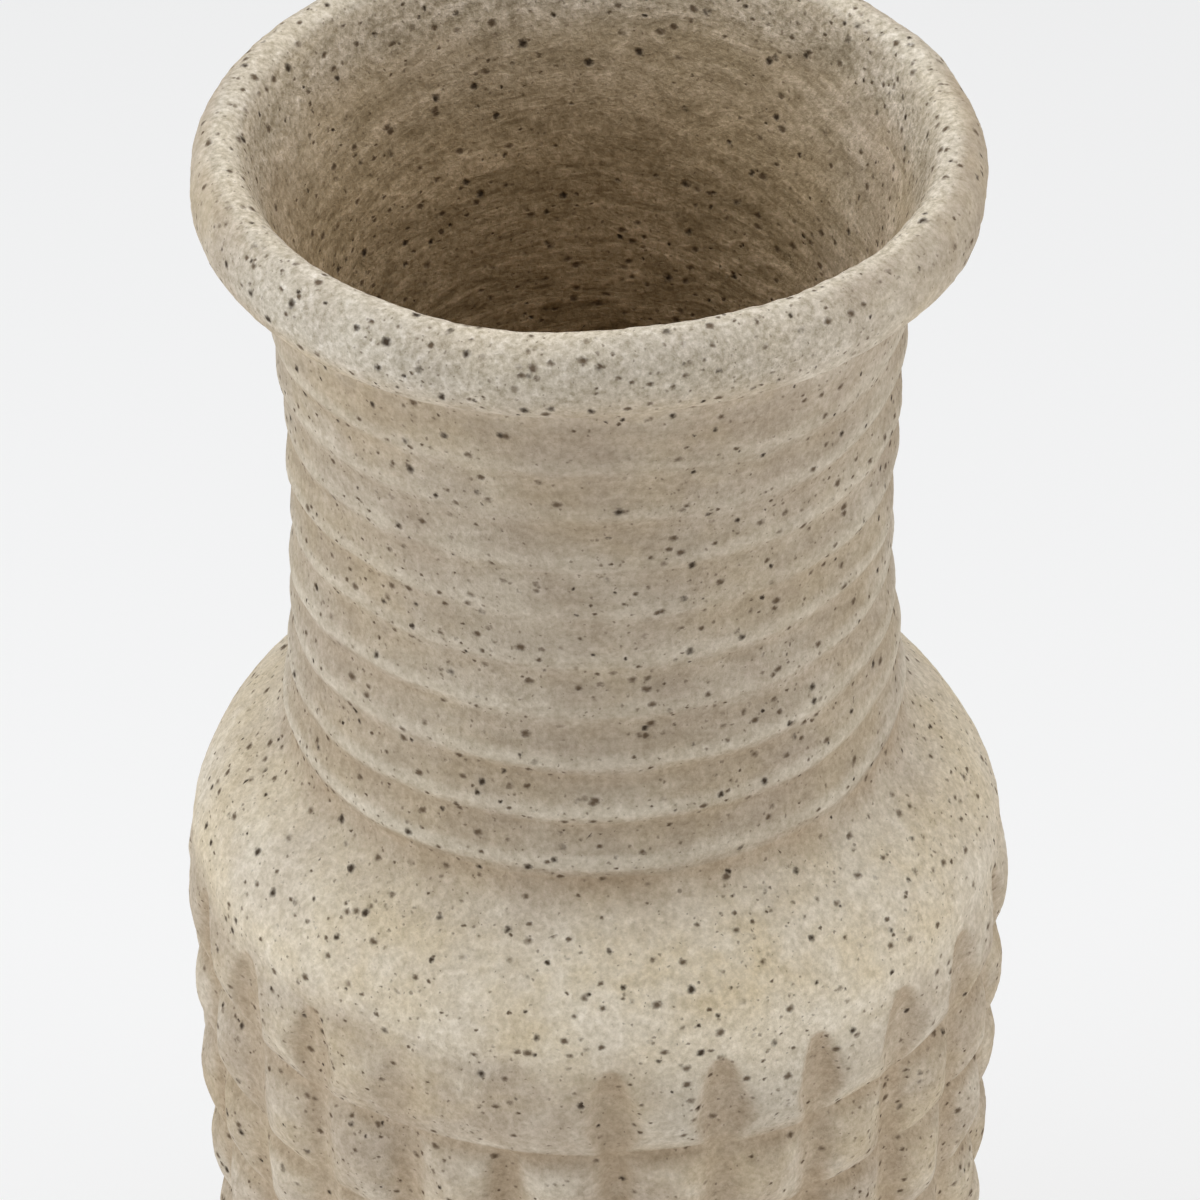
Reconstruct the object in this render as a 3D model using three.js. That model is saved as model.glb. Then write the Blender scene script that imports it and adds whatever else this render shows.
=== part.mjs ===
// A tall clay planter with a rolled rim, a ribbed neck, a smooth shoulder and a body carved into pads.
// It is built up as a potter builds it: six turned sections that seat on bevelled edges, with a rubber
// plug in the drain hole and felt pads under the foot.
// Millimetres, +Z up, origin on the floor under the middle of the pot.
import * as THREE from "three";

// Foot and floor
const FELT_COUNT = 4;
const FELT_RADIUS = 11;
const FELT_THICKNESS = 3;
const FELT_EDGE = 0.6; // worn corner round the bottom of a felt pad
const FOOT_RADIUS = 132; // outside of the pot where it meets the felt
const FOOT_CHAMFER = 4;
const FOOT_RING_WIDTH = 28;
const FOOT_RECESS = 6; // hollow turned under the floor, inside the foot ring
const FOOT_RECESS_FLARE = 3;
const FLOOR_THICKNESS = 22; // from the foot ring to the inside floor
const FLOOR_FILLET = 16;

// Drain hole and plug
const DRAIN_RADIUS = 14;
const PLUG_CLEARANCE = 0.3;
const PLUG_TAPER = 1.4; // how much smaller the plug's radius is at its lower end
const PLUG_SHORT = 2; // how far the plug stops short of the underside of the floor
const PLUG_FLANGE_OVERLAP = 8;
const PLUG_FLANGE_THICKNESS = 5;
const PLUG_FLANGE_ROUND = 1.5;
const PLUG_STEM_RADIUS = 5;
const PLUG_STEM_HEIGHT = 6;
const PLUG_KNOB_RADIUS = 9;
const PLUG_KNOB_HEIGHT = 8;
const PLUG_KNOB_UNDERSIDE = -60; // degrees round the knob, from its outermost place, where the stem meets it

// Body and its carving
const BELLY_RADIUS = 152; // widest, over the crests of the pads
const BELLY_DROP = 28; // how far the widest place lies below the ends of the highest grooves
const BELLY_FULLNESS = 1.75; // 1 is a straight taper down to the foot, more is fuller
const BODY_WALL = 17;
const FOOT_BAND_HEIGHT = 36; // plain band below the carving
const COLUMN_COUNT = 24;
const ROW_COUNT = 7; // full rows of pads
const ROWS_IN_UPPER_WALL = 3;
const HIGHEST_ROW_HEIGHT = 38.5;
const ROW_SHRINK = 0.965; // each row is this share of the row above it
const CROWN_ROW_HEIGHT = 45; // the open row at the top, whose grooves run out to a point below the shoulder
const CROWN_CREST = 0.42; // share of the open row where its pads stand full and its grooves begin to narrow
const CROWN_POINT = 0.45; // below 1 the narrowing grooves stay deep until near their points
const CROWN_MARGIN = 1; // smooth wall between the ends of those grooves and the shoulder's joint
const UPRIGHT_GROOVE_DEPTH = 6.8;
const LEVEL_GROOVE_DEPTH = 5.2;
const PAD_ROUNDNESS = 1.45; // 1 is a pyramid, 2 a round pillow
const HIP_SHARPNESS = 4; // how crisply a pad's four flanks meet, more is crisper
const FIRST_GROOVE_ANGLE = 2; // degrees round from the front

// Shoulder
const SHOULDER_UNDERCUT = 5.2; // how far inside the neck the middle of the shoulder's elliptical sweep lies
const SHOULDER_RISE = 70; // half height of the sweep
const SHOULDER_WALL = 14; // wall at the crown of the sweep
const SHOULDER_SWEEP = 64; // degrees of the sweep before it turns up into the neck
const SHOULDER_COVE = 8.8; // height of the hollow curve that ends at the neck

// Neck
const NECK_HEIGHT = 190;
const NECK_FOOT_RADIUS = 111.9;
const NECK_WAIST_RADIUS = 106.4;
const NECK_TOP_RADIUS = 114;
const NECK_WAIST_HEIGHT = 88;
const NECK_WALL = 11.4;
const RIB_COUNT = 9;
const RIB_PLAIN = 3.7; // smooth stretch above the highest rib
const LOWEST_RIB_DEPTH = 1.8;
const HIGHEST_RIB_DEPTH = 1;
const RIB_LEDGE = 4.5; // height of the short undercut below each rib's crest

// Rolled rim
const LIP_FLARE = 13.4; // how far the middle of the roll stands out from the top of the neck
const LIP_NECK = 17.1; // from the top of the neck to the underside of the roll
const LIP_HALF_WIDTH = 10.8;
const LIP_HALF_HEIGHT = 15.6;
const LIP_UNDERSIDE = -60; // degrees round the roll, from its outermost place, where the hollow below begins
const LIP_INSIDE = 150; // degrees round the roll where the throat begins
const THROAT_DEPTH = 72; // from the middle of the roll down to where the throat meets the neck's own inside
const THROAT_IN_RIM = 0.34; // share of the throat's curve above the rim's joint

// Fits
const SEAT_GAP = 0.3; // slip joint between sections, and the bed of a felt pad or the plug
const JOINT_BEVEL = 8; // rise of a bevelled edge from the outside of the wall to the inside

// Facets
const PAD_STEPS = 4; // facets across a pad and up it
const TURN_STEPS = 40; // facets round the plain sections
const SMALL_STEPS = 20; // facets round the plug and the felt
const ARC_STEPS = 3;
const ROLL_STEPS = 10; // facets over the roll of the rim
const THROAT_STEPS = 3; // facets down the throat, in the rim and again in the neck

const clay = new THREE.MeshStandardMaterial({ color: "#b9ac96", roughness: 0.95, metalness: 0 });
const rubber = new THREE.MeshStandardMaterial({ color: "#2b2927", roughness: 0.7, metalness: 0 });
const felt = new THREE.MeshStandardMaterial({ color: "#6b6258", roughness: 1, metalness: 0 });

// Heights, from the floor up
const footZ = FELT_THICKNESS + SEAT_GAP;
const floorZ = footZ + FLOOR_THICKNESS;
const recessZ = footZ + FOOT_RECESS;
const rowHeight = (row) => HIGHEST_ROW_HEIGHT * ROW_SHRINK ** row;
const rowHeights = Array.from({ length: ROW_COUNT }, (_, row) => rowHeight(row));
const heightOfRows = (count) => rowHeights.slice(0, count).reduce((sum, height) => sum + height, 0);
const highestGrooveZ = footZ + FOOT_BAND_HEIGHT + heightOfRows(ROW_COUNT);
// groove 0 is the highest one round the body
const grooveZ = (index) => highestGrooveZ - heightOfRows(index);
const crownZ = highestGrooveZ + CROWN_ROW_HEIGHT;
const bellyZ = crownZ - BELLY_DROP;
const sweepCentre = NECK_FOOT_RADIUS - SHOULDER_UNDERCUT;
const sweepReach = BELLY_RADIUS - sweepCentre;

// Radius of the body below its widest place, over the crests of the pads
function taperedRadius(z) {
  const drop = (bellyZ - z) / (bellyZ - footZ);
  return BELLY_RADIUS - (BELLY_RADIUS - FOOT_RADIUS) * drop ** BELLY_FULLNESS;
}

// Radius of the shoulder's elliptical sweep above the widest place
function sweptRadius(z, reach, rise) {
  const climb = (z - bellyZ) / rise;
  return sweepCentre + reach * Math.sqrt(1 - climb * climb);
}

function outerRadius(z) {
  return z < bellyZ ? taperedRadius(z) : sweptRadius(z, sweepReach, SHOULDER_RISE);
}

function innerRadius(z) {
  if (z < bellyZ) return taperedRadius(z) - BODY_WALL;
  return sweptRadius(z, sweepReach - BODY_WALL, SHOULDER_RISE - SHOULDER_WALL);
}

// The sweep of the shoulder from a height up to the end of its ellipse, then a hollow curve that ends
// upright at the radius of the neck
function shoulderSweep(fromZ, reach, rise, neckRadius, endZ) {
  const end = THREE.MathUtils.degToRad(SHOULDER_SWEEP);
  const start = Math.asin((fromZ - bellyZ) / rise);
  const arc = new THREE.EllipseCurve(sweepCentre, bellyZ, reach, rise, start, end);
  const last = arc.getPoint(1);
  const slope = rise / (reach * Math.tan(end)); // climb for each step inwards
  const cornerZ = last.y + (last.x - neckRadius) * slope;
  const corner = new THREE.Vector2(neckRadius, cornerZ);
  const top = new THREE.Vector2(neckRadius, endZ ?? cornerZ + SHOULDER_COVE);
  const cove = new THREE.QuadraticBezierCurve(last, corner, top);
  return [...arc.getPoints(ARC_STEPS + 1), ...cove.getPoints(ARC_STEPS).slice(1)];
}

// Heights of the bevelled joints, each at the outside of the wall
const footJointZ = grooveZ(ROW_COUNT);
const bodyJointZ = grooveZ(ROWS_IN_UPPER_WALL);
const shoulderJointZ = crownZ + CROWN_MARGIN;
const shoulderOutline = shoulderSweep(shoulderJointZ, sweepReach, SHOULDER_RISE, NECK_FOOT_RADIUS);
const neckFootZ = shoulderOutline.at(-1).y;
const neckTopZ = neckFootZ + NECK_HEIGHT;
const ribPitch = (NECK_HEIGHT - RIB_PLAIN) / RIB_COUNT;
const lipZ = neckTopZ + LIP_NECK + LIP_HALF_HEIGHT;
const lipRadius = NECK_TOP_RADIUS + LIP_FLARE;

// Where each joint meets the inside of the wall: most bevels rise inwards, and the shoulder nests in the wall
const footJointInsideZ = footJointZ + JOINT_BEVEL;
const bodyJointInsideZ = bodyJointZ + JOINT_BEVEL;
const shoulderJointInsideZ = shoulderJointZ - JOINT_BEVEL;
const neckFootInsideZ = neckFootZ + JOINT_BEVEL;

// Smooth radius of the neck, without its ribs
function neckRadius(z) {
  const waistZ = neckFootZ + NECK_WAIST_HEIGHT;
  const [endRadius, endZ] = z > waistZ ? [NECK_TOP_RADIUS, neckTopZ] : [NECK_FOOT_RADIUS, neckFootZ];
  const away = (z - waistZ) / (endZ - waistZ);
  return NECK_WAIST_RADIUS + (endRadius - NECK_WAIST_RADIUS) * away * away;
}

// The roll of the rim, an ellipse from its underside over the crest to where the throat begins
const lipFrom = THREE.MathUtils.degToRad(LIP_UNDERSIDE);
const lipTo = THREE.MathUtils.degToRad(LIP_INSIDE);
const roll = new THREE.EllipseCurve(lipRadius, lipZ, LIP_HALF_WIDTH, LIP_HALF_HEIGHT, lipFrom, lipTo);

// The throat leaves the roll along its tangent and ends upright in the neck
function makeThroat() {
  const start = roll.getPoint(1);
  const throatFootZ = lipZ - THROAT_DEPTH;
  const foot = new THREE.Vector2(neckRadius(throatFootZ) - NECK_WALL, throatFootZ);
  const slope = (LIP_HALF_HEIGHT * Math.cos(lipTo)) / (LIP_HALF_WIDTH * Math.sin(lipTo));
  const corner = new THREE.Vector2(foot.x, start.y + (start.x - foot.x) * slope);
  return new THREE.QuadraticBezierCurve(start, corner, foot);
}

const throat = makeThroat();

// Points down the throat between two shares of its curve
function throatPoints(from, to) {
  const points = [];
  for (let step = 0; step <= THROAT_STEPS; step++) {
    points.push(throat.getPoint(THREE.MathUtils.lerp(from, to, step / THROAT_STEPS)));
  }
  return points;
}

// A solid of revolution about Z from a closed outline of [radius, height] points that runs up its outside
function turned(outline, steps, startAngle = 0) {
  const points = outline.map((point) => (point.isVector2 ? point : new THREE.Vector2(...point)));
  points.push(points[0].clone());
  return new THREE.LatheGeometry(points, steps, startAngle).rotateX(Math.PI / 2);
}

// A solid of revolution whose outline starts and ends on the axis
function turnedSolid(outline, steps) {
  const points = outline.map((point) => (point.isVector2 ? point : new THREE.Vector2(...point)));
  return new THREE.LatheGeometry(points, steps).rotateX(Math.PI / 2);
}

// How far down its flank a place on a pad lies, from 0 on the crest to 1 in the groove
const flankShare = (place) => Math.abs(place) ** PAD_ROUNDNESS;

// Depth of the carving where a flank beside an upright groove meets one beside a level groove
function hippedDepth(uprightShare, levelShare) {
  const upright = (UPRIGHT_GROOVE_DEPTH * uprightShare) ** HIP_SHARPNESS;
  const level = (LEVEL_GROOVE_DEPTH * levelShare) ** HIP_SHARPNESS;
  return (upright + level) ** (1 / HIP_SHARPNESS);
}

// How deep the carving is at an angle round the pot, in columns from a groove, and a height
function carvedDepth(column, z) {
  // A groove where one section seats on another is equally deep all round, so that the two edges match
  const onSeat = [footJointZ, bodyJointZ].some((seatZ) => Math.abs(z - seatZ) < 2 * SEAT_GAP);
  if (onSeat) return LEVEL_GROOVE_DEPTH;
  const across = 2 * (column - Math.floor(column)) - 1;
  for (let row = 0; row < ROW_COUNT; row++) {
    const top = grooveZ(row);
    const bottom = grooveZ(row + 1);
    if (z >= bottom && z <= top) {
      const up = (2 * (z - bottom)) / (top - bottom) - 1;
      return hippedDepth(flankShare(across), flankShare(up));
    }
  }
  // The open row at the top: a half pad over the highest groove, between grooves that narrow to a point
  const climb = THREE.MathUtils.clamp((z - highestGrooveZ) / CROWN_ROW_HEIGHT, 0, 1);
  const up = Math.max(1 - climb / CROWN_CREST, 0);
  const width = Math.min((1 - climb) / (1 - CROWN_CREST), 1);
  if (width === 0) return 0;
  const flank = Math.max(Math.abs(across) - 1 + width, 0) / width;
  return hippedDepth(width ** CROWN_POINT * flankShare(flank), flankShare(up));
}

// A section of the body, carved over its outside; both lists of heights run upwards
function carvedWall(outsideHeights, insideHeights) {
  const outside = outsideHeights.map((z) => new THREE.Vector2(outerRadius(z), z));
  const inside = insideHeights.map((z) => new THREE.Vector2(innerRadius(z), z)).reverse();
  const steps = COLUMN_COUNT * PAD_STEPS;
  const geometry = turned([...outside, ...inside], steps, THREE.MathUtils.degToRad(FIRST_GROOVE_ANGLE));
  const position = geometry.getAttribute("position");
  const pointsInOutline = outside.length + inside.length + 1;
  for (let index = 0; index < position.count; index++) {
    const point = index % pointsInOutline;
    // the outline closes on its first point, which is on the outside too
    const onOutside = point < outside.length || point === pointsInOutline - 1;
    if (!onOutside) continue;
    const column = Math.floor(index / pointsInOutline) / PAD_STEPS;
    const z = position.getZ(index);
    const radius = outerRadius(z) - carvedDepth(column, z);
    const angle = Math.atan2(position.getY(index), position.getX(index));
    position.setXY(index, radius * Math.cos(angle), radius * Math.sin(angle));
  }
  return geometry;
}

// Heights of the facets up a run of full rows, from one groove to another above it
function rowFacetHeights(lowGroove, highGroove) {
  const heights = [];
  for (let row = lowGroove - 1; row >= highGroove; row--) {
    const bottom = grooveZ(row + 1);
    const step = rowHeight(row) / PAD_STEPS;
    for (let facet = 0; facet < PAD_STEPS; facet++) heights.push(bottom + facet * step);
  }
  return heights;
}

function quarterArc(centreRadius, centreZ, radius, fromDegrees, toDegrees) {
  const from = THREE.MathUtils.degToRad(fromDegrees);
  const to = THREE.MathUtils.degToRad(toDegrees);
  const arc = new THREE.EllipseCurve(centreRadius, centreZ, radius, radius, from, to, to < from);
  return arc.getPoints(ARC_STEPS);
}

// Floor, foot ring and plain foot band, with the drain hole through the middle
function makeBase() {
  const ringInner = FOOT_RADIUS - FOOT_CHAMFER - FOOT_RING_WIDTH;
  const bandTop = footJointZ - LEVEL_GROOVE_DEPTH;
  const filletRadius = Math.min(FLOOR_FILLET, footJointInsideZ - floorZ - SEAT_GAP);
  const filletZ = floorZ + filletRadius;
  const fillet = quarterArc(innerRadius(filletZ) - filletRadius, filletZ, filletRadius, 0, -90);
  return turned(
    [
      [DRAIN_RADIUS, recessZ],
      [ringInner - FOOT_RECESS_FLARE, recessZ],
      [ringInner, footZ],
      [FOOT_RADIUS - FOOT_CHAMFER, footZ],
      [outerRadius(footZ + FOOT_CHAMFER), footZ + FOOT_CHAMFER],
      [outerRadius(bandTop), bandTop],
      [outerRadius(footJointZ) - LEVEL_GROOVE_DEPTH, footJointZ],
      [innerRadius(footJointInsideZ), footJointInsideZ],
      ...fillet,
      [DRAIN_RADIUS, floorZ],
    ],
    TURN_STEPS,
  );
}

function makeLowerWall() {
  const heights = rowFacetHeights(ROW_COUNT, ROWS_IN_UPPER_WALL);
  heights[0] += SEAT_GAP;
  return carvedWall([...heights, bodyJointZ], [footJointInsideZ + SEAT_GAP, bodyJointInsideZ]);
}

function makeUpperWall() {
  const heights = rowFacetHeights(ROWS_IN_UPPER_WALL, 0);
  heights[0] += SEAT_GAP;
  const crownSteps = PAD_STEPS + 1;
  const crownStep = CROWN_ROW_HEIGHT / crownSteps;
  for (let facet = 0; facet <= crownSteps; facet++) heights.push(highestGrooveZ + facet * crownStep);
  const insideHeights = [bodyJointInsideZ + SEAT_GAP, bellyZ, shoulderJointInsideZ];
  return carvedWall([...heights, shoulderJointZ], insideHeights);
}

function makeShoulder() {
  const inside = shoulderSweep(
    shoulderJointInsideZ + SEAT_GAP,
    sweepReach - BODY_WALL,
    SHOULDER_RISE - SHOULDER_WALL,
    neckRadius(neckFootInsideZ) - NECK_WALL,
    neckFootInsideZ,
  );
  const outside = shoulderOutline.map((point) => point.clone());
  outside[0].y += SEAT_GAP;
  return turned([...outside, ...inside.reverse()], TURN_STEPS);
}

// Each rib swells towards its lower edge, then steps back over a short ledge; the lower ones are bolder
function makeNeck() {
  const outside = [[neckRadius(neckFootZ), neckFootZ + SEAT_GAP]];
  for (let rib = 0; rib < RIB_COUNT; rib++) {
    const crestZ = neckFootZ + RIB_LEDGE + rib * ribPitch;
    const rootZ = crestZ + ribPitch - RIB_LEDGE;
    const depth = THREE.MathUtils.lerp(LOWEST_RIB_DEPTH, HIGHEST_RIB_DEPTH, rib / (RIB_COUNT - 1));
    outside.push([neckRadius(crestZ) + depth, crestZ]);
    outside.push([neckRadius(rootZ), rootZ]);
  }
  outside.push([NECK_TOP_RADIUS, neckTopZ]);
  const waistZ = neckFootZ + NECK_WAIST_HEIGHT;
  const inside = [waistZ, neckFootInsideZ + SEAT_GAP].map((z) => [neckRadius(z) - NECK_WALL, z]);
  return turned([...outside, ...throatPoints(THROAT_IN_RIM, 1), ...inside], TURN_STEPS);
}

// A hollow curve carries the underside of the roll down to the neck, and the throat leads down from its inside
function makeRim() {
  const start = new THREE.Vector2(NECK_TOP_RADIUS, neckTopZ + SEAT_GAP);
  const hollow = new THREE.Vector2(NECK_TOP_RADIUS, lipZ - LIP_HALF_HEIGHT);
  const cove = new THREE.QuadraticBezierCurve(start, hollow, roll.getPoint(0));
  const inside = throatPoints(0, THROAT_IN_RIM);
  inside.at(-1).y += SEAT_GAP;
  return turned(
    [...cove.getPoints(ARC_STEPS), ...roll.getPoints(ROLL_STEPS).slice(1), ...inside.slice(1)],
    TURN_STEPS,
  );
}

// A tapered rubber stopper pushed in from inside, with a flange that seats on the floor and a knob to pull
function makeDrainPlug() {
  const top = DRAIN_RADIUS - PLUG_CLEARANCE;
  const endZ = recessZ + PLUG_SHORT;
  const flangeRadius = DRAIN_RADIUS + PLUG_FLANGE_OVERLAP;
  const flangeZ = floorZ + SEAT_GAP;
  const flangeTopZ = flangeZ + PLUG_FLANGE_THICKNESS;
  const knobZ = flangeTopZ + PLUG_STEM_HEIGHT;
  const halfKnob = PLUG_KNOB_HEIGHT / 2;
  const from = THREE.MathUtils.degToRad(PLUG_KNOB_UNDERSIDE);
  const knob = new THREE.EllipseCurve(0, knobZ + halfKnob, PLUG_KNOB_RADIUS, halfKnob, from, Math.PI / 2);
  const crown = knob.getPoints(2 * ARC_STEPS);
  crown.at(-1).x = 0;
  return turnedSolid(
    [
      [0, endZ],
      [top - PLUG_TAPER, endZ],
      [top, flangeZ],
      [flangeRadius - PLUG_FLANGE_ROUND, flangeZ],
      [flangeRadius, flangeZ + PLUG_FLANGE_ROUND],
      [flangeRadius, flangeTopZ - PLUG_FLANGE_ROUND],
      [flangeRadius - PLUG_FLANGE_ROUND, flangeTopZ],
      [PLUG_STEM_RADIUS, flangeTopZ],
      ...crown,
    ],
    SMALL_STEPS,
  );
}

function makeFeltPad() {
  return turnedSolid(
    [
      [0, 0],
      [FELT_RADIUS - FELT_EDGE, 0],
      [FELT_RADIUS, FELT_EDGE],
      [FELT_RADIUS, FELT_THICKNESS],
      [0, FELT_THICKNESS],
    ],
    SMALL_STEPS,
  );
}

function piece(name, geometry, material) {
  const mesh = new THREE.Mesh(geometry, material);
  mesh.name = name;
  return mesh;
}

const planter = new THREE.Group();
planter.add(
  piece("base", makeBase(), clay),
  piece("lower_wall", makeLowerWall(), clay),
  piece("upper_wall", makeUpperWall(), clay),
  piece("shoulder", makeShoulder(), clay),
  piece("neck", makeNeck(), clay),
  piece("rim", makeRim(), clay),
  piece("drain_plug", makeDrainPlug(), rubber),
);

const feltCircle = FOOT_RADIUS - FOOT_CHAMFER - FOOT_RING_WIDTH / 2;
for (let index = 0; index < FELT_COUNT; index++) {
  const pad = piece(`felt_pad_${index + 1}`, makeFeltPad(), felt);
  const angle = ((index + 0.5) * 2 * Math.PI) / FELT_COUNT;
  pad.position.set(feltCircle * Math.cos(angle), feltCircle * Math.sin(angle), 0);
  planter.add(pad);
}

export default planter;
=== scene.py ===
"""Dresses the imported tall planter: a hand-built clay shell, its drain plug, felt feet and a plain studio.

The shell is spun whole, carved and ribbed, roughened as fired clay, and then parted into the six sections
that it was built from, so that its seams close exactly. Lengths are in metres, +Z is up and the pot stands
on the floor. Its front faces -Y, and angles round it are in degrees from the front, to the right.
"""
from __future__ import annotations

import logging
import math
from collections.abc import Callable, Iterator
from contextlib import contextmanager
from dataclasses import dataclass, field
from enum import Enum
from functools import cached_property
from typing import NamedTuple

import bpy
import numpy as np
from mathutils import Euler, Matrix, Vector


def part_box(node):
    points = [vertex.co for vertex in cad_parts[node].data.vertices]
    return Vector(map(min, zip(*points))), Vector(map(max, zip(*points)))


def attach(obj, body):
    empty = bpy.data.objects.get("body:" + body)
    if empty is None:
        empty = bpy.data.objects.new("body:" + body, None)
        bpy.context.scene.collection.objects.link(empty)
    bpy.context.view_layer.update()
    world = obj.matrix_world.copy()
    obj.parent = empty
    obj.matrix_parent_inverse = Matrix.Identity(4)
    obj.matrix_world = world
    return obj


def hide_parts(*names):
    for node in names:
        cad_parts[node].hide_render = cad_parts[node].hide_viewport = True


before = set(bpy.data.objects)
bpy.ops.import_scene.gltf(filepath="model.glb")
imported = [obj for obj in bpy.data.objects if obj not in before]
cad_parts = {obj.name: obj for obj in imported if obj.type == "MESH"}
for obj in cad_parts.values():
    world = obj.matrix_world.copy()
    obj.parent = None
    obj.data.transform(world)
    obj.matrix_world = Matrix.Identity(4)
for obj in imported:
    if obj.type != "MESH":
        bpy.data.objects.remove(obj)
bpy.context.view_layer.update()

MM = 0.001
SMOOTH_ANGLE = math.radians(70.0)
MERGE_DISTANCE = 0.01 * MM
ALONG = "along"
log = logging.getLogger("planter")

Point = tuple[float, float]
Place = tuple[float, float, float]
Colour = tuple[float, float, float, float]
Link = bpy.types.NodeSocket


class Section(Enum):
    """The clay sections, from the floor up, each named as its solid is."""

    BASE = "base"
    LOWER_WALL = "lower_wall"
    UPPER_WALL = "upper_wall"
    SHOULDER = "shoulder"
    NECK = "neck"
    RIM = "rim"


class Stretch(Enum):
    """The stretches of the shell's outline, in order, with the section that each belongs to."""

    UNDERSIDE = (0, Section.BASE)
    FOOT_BAND = (1, Section.BASE)
    LOWER_PADS = (2, Section.LOWER_WALL)
    UPPER_PADS = (3, Section.UPPER_WALL)
    SHOULDER = (4, Section.SHOULDER)
    NECK = (5, Section.NECK)
    ROLL = (6, Section.RIM)
    THROAT = (7, Section.RIM)
    INSIDE_NECK = (8, Section.NECK)
    INSIDE_SHOULDER = (9, Section.SHOULDER)
    INSIDE_UPPER = (10, Section.UPPER_WALL)
    INSIDE_LOWER = (11, Section.LOWER_WALL)
    FLOOR = (12, Section.BASE)

    @property
    def order(self) -> int:
        """Its number along the outline."""
        return self.value[0]

    @property
    def section(self) -> Section:
        """The section that it belongs to."""
        return self.value[1]


class Body(Enum):
    """The bodies that the pieces ride on."""

    POT = "pot"
    PLUG = "plug"


class Effect(Enum):
    """The effects that the finishes share, each a node group."""

    SPECKS = "scattered_specks"
    GRAIN = "sandy_grain"
    PATCHES = "soft_patches"


class Paint(Enum):
    """What the shell's vertices tell the finish, each from 0 to 1."""

    # Darker brown in grooves and scoops, painted shadow under level grooves and at the neck's foot, slip
    # with painted shade at the ribs' roots
    HOLLOW = "hollow"
    # Painted shade inside the pot, from the lip's inner brink down
    INSIDE = "inside"
    # Painted light: the shoulder paler towards the front and the lit right side, and a highlight on the
    # lip's inner brink
    SHELF = "shelf"
    LIP = "lip"
    # Painted light on the front-right crown pads, paler and greyer
    WASHED = "washed"
    # Painted shade: the neck under the lip's overhang, the inside and the lip's outer sides
    THROWN = "thrown"
    # Painted highlight, cream, along the crests of the neck's ribs
    RIDGE = "ridge"
    SMEARED = "smeared"


def smoothstep(low: float, high: float, values: np.ndarray) -> np.ndarray:
    """Eases values from 0 at low to 1 at high.

    Args:
        low: Where the ramp starts.
        high: Where it ends, which may be below low.
        values: What is eased.

    Returns:
        The eased values.
    """
    share = np.clip((values - low) / (high - low), 0.0, 1.0)
    return share * share * (3.0 - 2.0 * share)


def steps_to(start: float, end: float, steps: int) -> np.ndarray:
    """Lists even steps from start, which is left out, to end."""
    return np.linspace(start, end, steps + 1)[1:]


@dataclass(frozen=True)
class Arc:
    """A range of angles round the pot with soft ends."""

    start: float
    full: float
    fade: float
    end: float

    def cover(self, turn: np.ndarray) -> np.ndarray:
        """Gives 1 from full to fade, 0 before start and after end, and eased values between."""
        return smoothstep(self.start, self.full, turn) * smoothstep(self.end, self.fade, turn)


@contextmanager
def edit_mode() -> Iterator[None]:
    """Keeps the active piece in edit mode for a block of steps."""
    bpy.ops.object.mode_set(mode="EDIT")
    yield
    bpy.ops.object.mode_set(mode="OBJECT")


def select_only(piece: bpy.types.Object) -> None:
    """Makes a piece the one selected and active object.

    Args:
        piece: The piece.
    """
    bpy.ops.object.select_all(action="DESELECT")
    piece.select_set(True)
    bpy.context.view_layer.objects.active = piece


def rename(piece: bpy.types.Object, name: str) -> None:
    """Names a piece and its mesh."""
    piece.name = name
    piece.data.name = name


def trace_outline(name: str, outline: list[Point], angle: float, closed: bool) -> bpy.types.Object:
    """Draws a turned piece's outline in the upright half plane at an angle, point by point.

    Args:
        name: The piece's name.
        outline: Radius and height of each point.
        angle: Where the half plane stands, in radians from +X.
        closed: Whether the last point joins the first.

    Returns:
        The piece, with the outline as edges and its object at the origin.
    """
    points = [Vector((r * math.cos(angle), r * math.sin(angle), z)) for r, z in outline]
    bpy.ops.object.select_all(action="DESELECT")
    bpy.ops.mesh.primitive_plane_add(size=MM, location=points[0])
    piece = bpy.context.active_object
    rename(piece, name)
    bpy.ops.object.transform_apply(location=True, rotation=True, scale=True)
    with edit_mode():
        bpy.ops.mesh.select_mode(type="VERT")
        bpy.ops.mesh.select_all(action="SELECT")
        bpy.ops.mesh.merge(type="CENTER")
        for before, after in zip(points, points[1:]):
            bpy.ops.mesh.extrude_region_move(TRANSFORM_OT_translate={"value": after - before})
    if closed:
        for vertex in piece.data.vertices:
            vertex.select = vertex.index in (0, len(points) - 1)
        with edit_mode():
            bpy.ops.mesh.edge_face_add()
    return piece


def spin_outline(piece: bpy.types.Object, steps: int, slices: int) -> None:
    """Spins a traced outline round Z as one slice, repeats it all round, and merges what meets.

    Args:
        piece: The piece that holds the outline.
        steps: Facets round one slice.
        slices: Slices round the piece.
    """
    turn = 2.0 * math.pi / slices
    bpy.ops.object.empty_add(rotation=(0.0, 0.0, turn))
    pivot = bpy.context.active_object
    select_only(piece)
    with edit_mode():
        bpy.ops.mesh.select_all(action="SELECT")
        bpy.ops.mesh.spin(steps=steps, angle=turn, center=(0.0, 0.0, 0.0), axis=(0.0, 0.0, 1.0))
    array = piece.modifiers.new("slices", "ARRAY")
    array.count = slices
    array.use_relative_offset = False
    array.use_object_offset = True
    array.offset_object = pivot
    bpy.ops.object.modifier_apply(modifier=array.name)
    bpy.data.objects.remove(pivot)
    with edit_mode():
        bpy.ops.mesh.select_all(action="SELECT")
        bpy.ops.mesh.remove_doubles(threshold=MERGE_DISTANCE)
        bpy.ops.mesh.normals_make_consistent(inside=False)


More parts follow.
